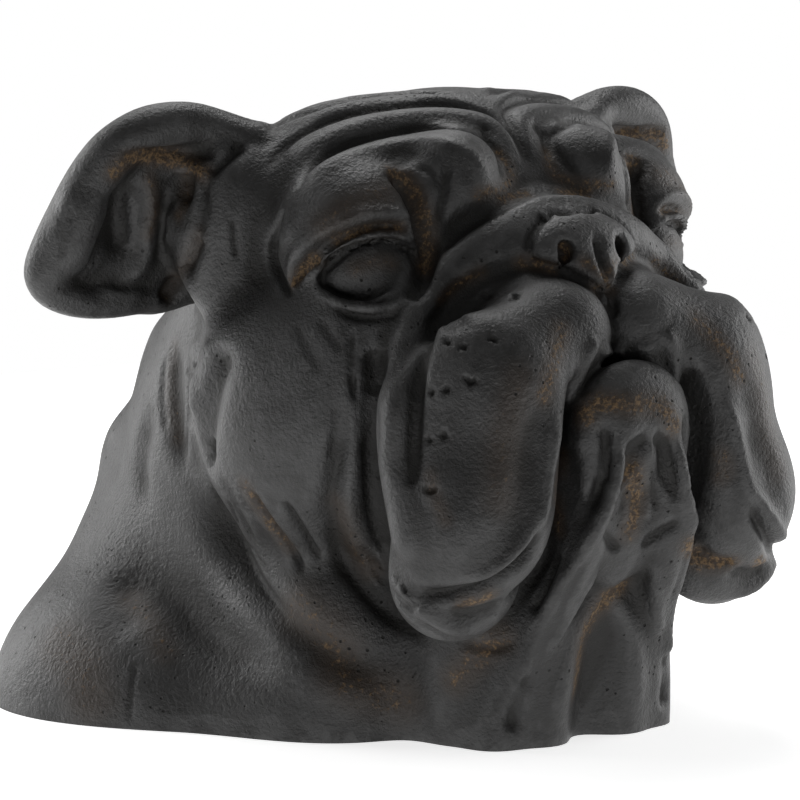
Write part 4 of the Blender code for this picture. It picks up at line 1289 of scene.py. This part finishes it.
# %% Floor and world
FLOOR_SIDE = 2.2
FLOOR_GREY = 0.80
floor_mesh = bpy.data.meshes.new("floor")
corners = [(x * FLOOR_SIDE / 2, y * FLOOR_SIDE / 2, 0) for x, y in ((-1, -1), (1, -1), (1, 1), (-1, 1))]
floor_mesh.from_pydata(corners, [], [(0, 1, 2, 3)])
floor = bpy.data.objects.new("floor", floor_mesh)
bpy.context.collection.objects.link(floor)
paint = Bench(bpy.data.materials.new("pale_floor"))
for socket, value in {"Base Color": (FLOOR_GREY, FLOOR_GREY, FLOOR_GREY, 1), "Roughness": 0.8,
                      "Emission Color": (1, 1, 1, 1), "Emission Strength": 0.75}.items():
    paint.join(paint.shader.inputs[socket], value)
floor_mesh.materials.append(paint.owner)

FILL = 0.15
world = Bench(bpy.data.worlds.new("studio"), "Background")
bpy.context.scene.world = world.owner
seen = world.node("ShaderNodeLightPath", {}, {}).outputs["Is Camera Ray"]
white = world.node("ShaderNodeMapRange", {}, {"Value": seen, "To Min": FILL, "To Max": 1.0})
world.join(world.shader.inputs["Strength"], white.outputs["Result"])
world.join(world.shader.inputs["Color"], (1, 1, 1, 1))
print("floor", FLOOR_SIDE, "m square, fill light", FILL)

# %% Lights
MIDDLE = Vector((0, 0, BUST_HEIGHT / 2))
RIGHTWARD = Vector(ACROSS * HALF_TURN)
BEHIND = -Vector(LEVEL * HALF_TURN)


def soft_light(name, right, behind, up, side, watts):
    """A square light at so many metres right of, behind and above the middle of the bust."""
    light = bpy.data.objects.new(name, bpy.data.lights.new(name, "AREA"))
    bpy.context.collection.objects.link(light)
    light.data.size = side
    light.data.energy = watts
    light.location = MIDDLE + RIGHTWARD * right + BEHIND * behind + Vector((0, 0, up))
    light.rotation_euler = (MIDDLE - light.location).to_track_quat("-Z", "Y").to_euler()


soft_light("left", -1.0, 0.45, 0.35, 0.8, 10)
soft_light("right", 1.1, 0.60, 0.25, 0.8, 7)
soft_light("overhead", -0.1, 0.60, 1.1, 0.8, 9)
print("three soft lights")

# %% Camera
SENSOR = 36.0
camera = bpy.data.objects.new("camera", bpy.data.cameras.new("camera"))
bpy.context.collection.objects.link(camera)
camera.data.sensor_width = SENSOR
camera.data.lens = SENSOR * SIGHT_DISTANCE / (DRAWING_SIZE * DRAWING_STEP)
camera.location = eye
camera.rotation_euler = (-Vector(TOWARDS * HALF_TURN)).to_track_quat("-Z", "Y").to_euler()
bpy.context.scene.camera = camera
bpy.context.scene.view_settings.view_transform = "Standard"
print("camera at", tuple(round(value, 3) for value in camera.location))
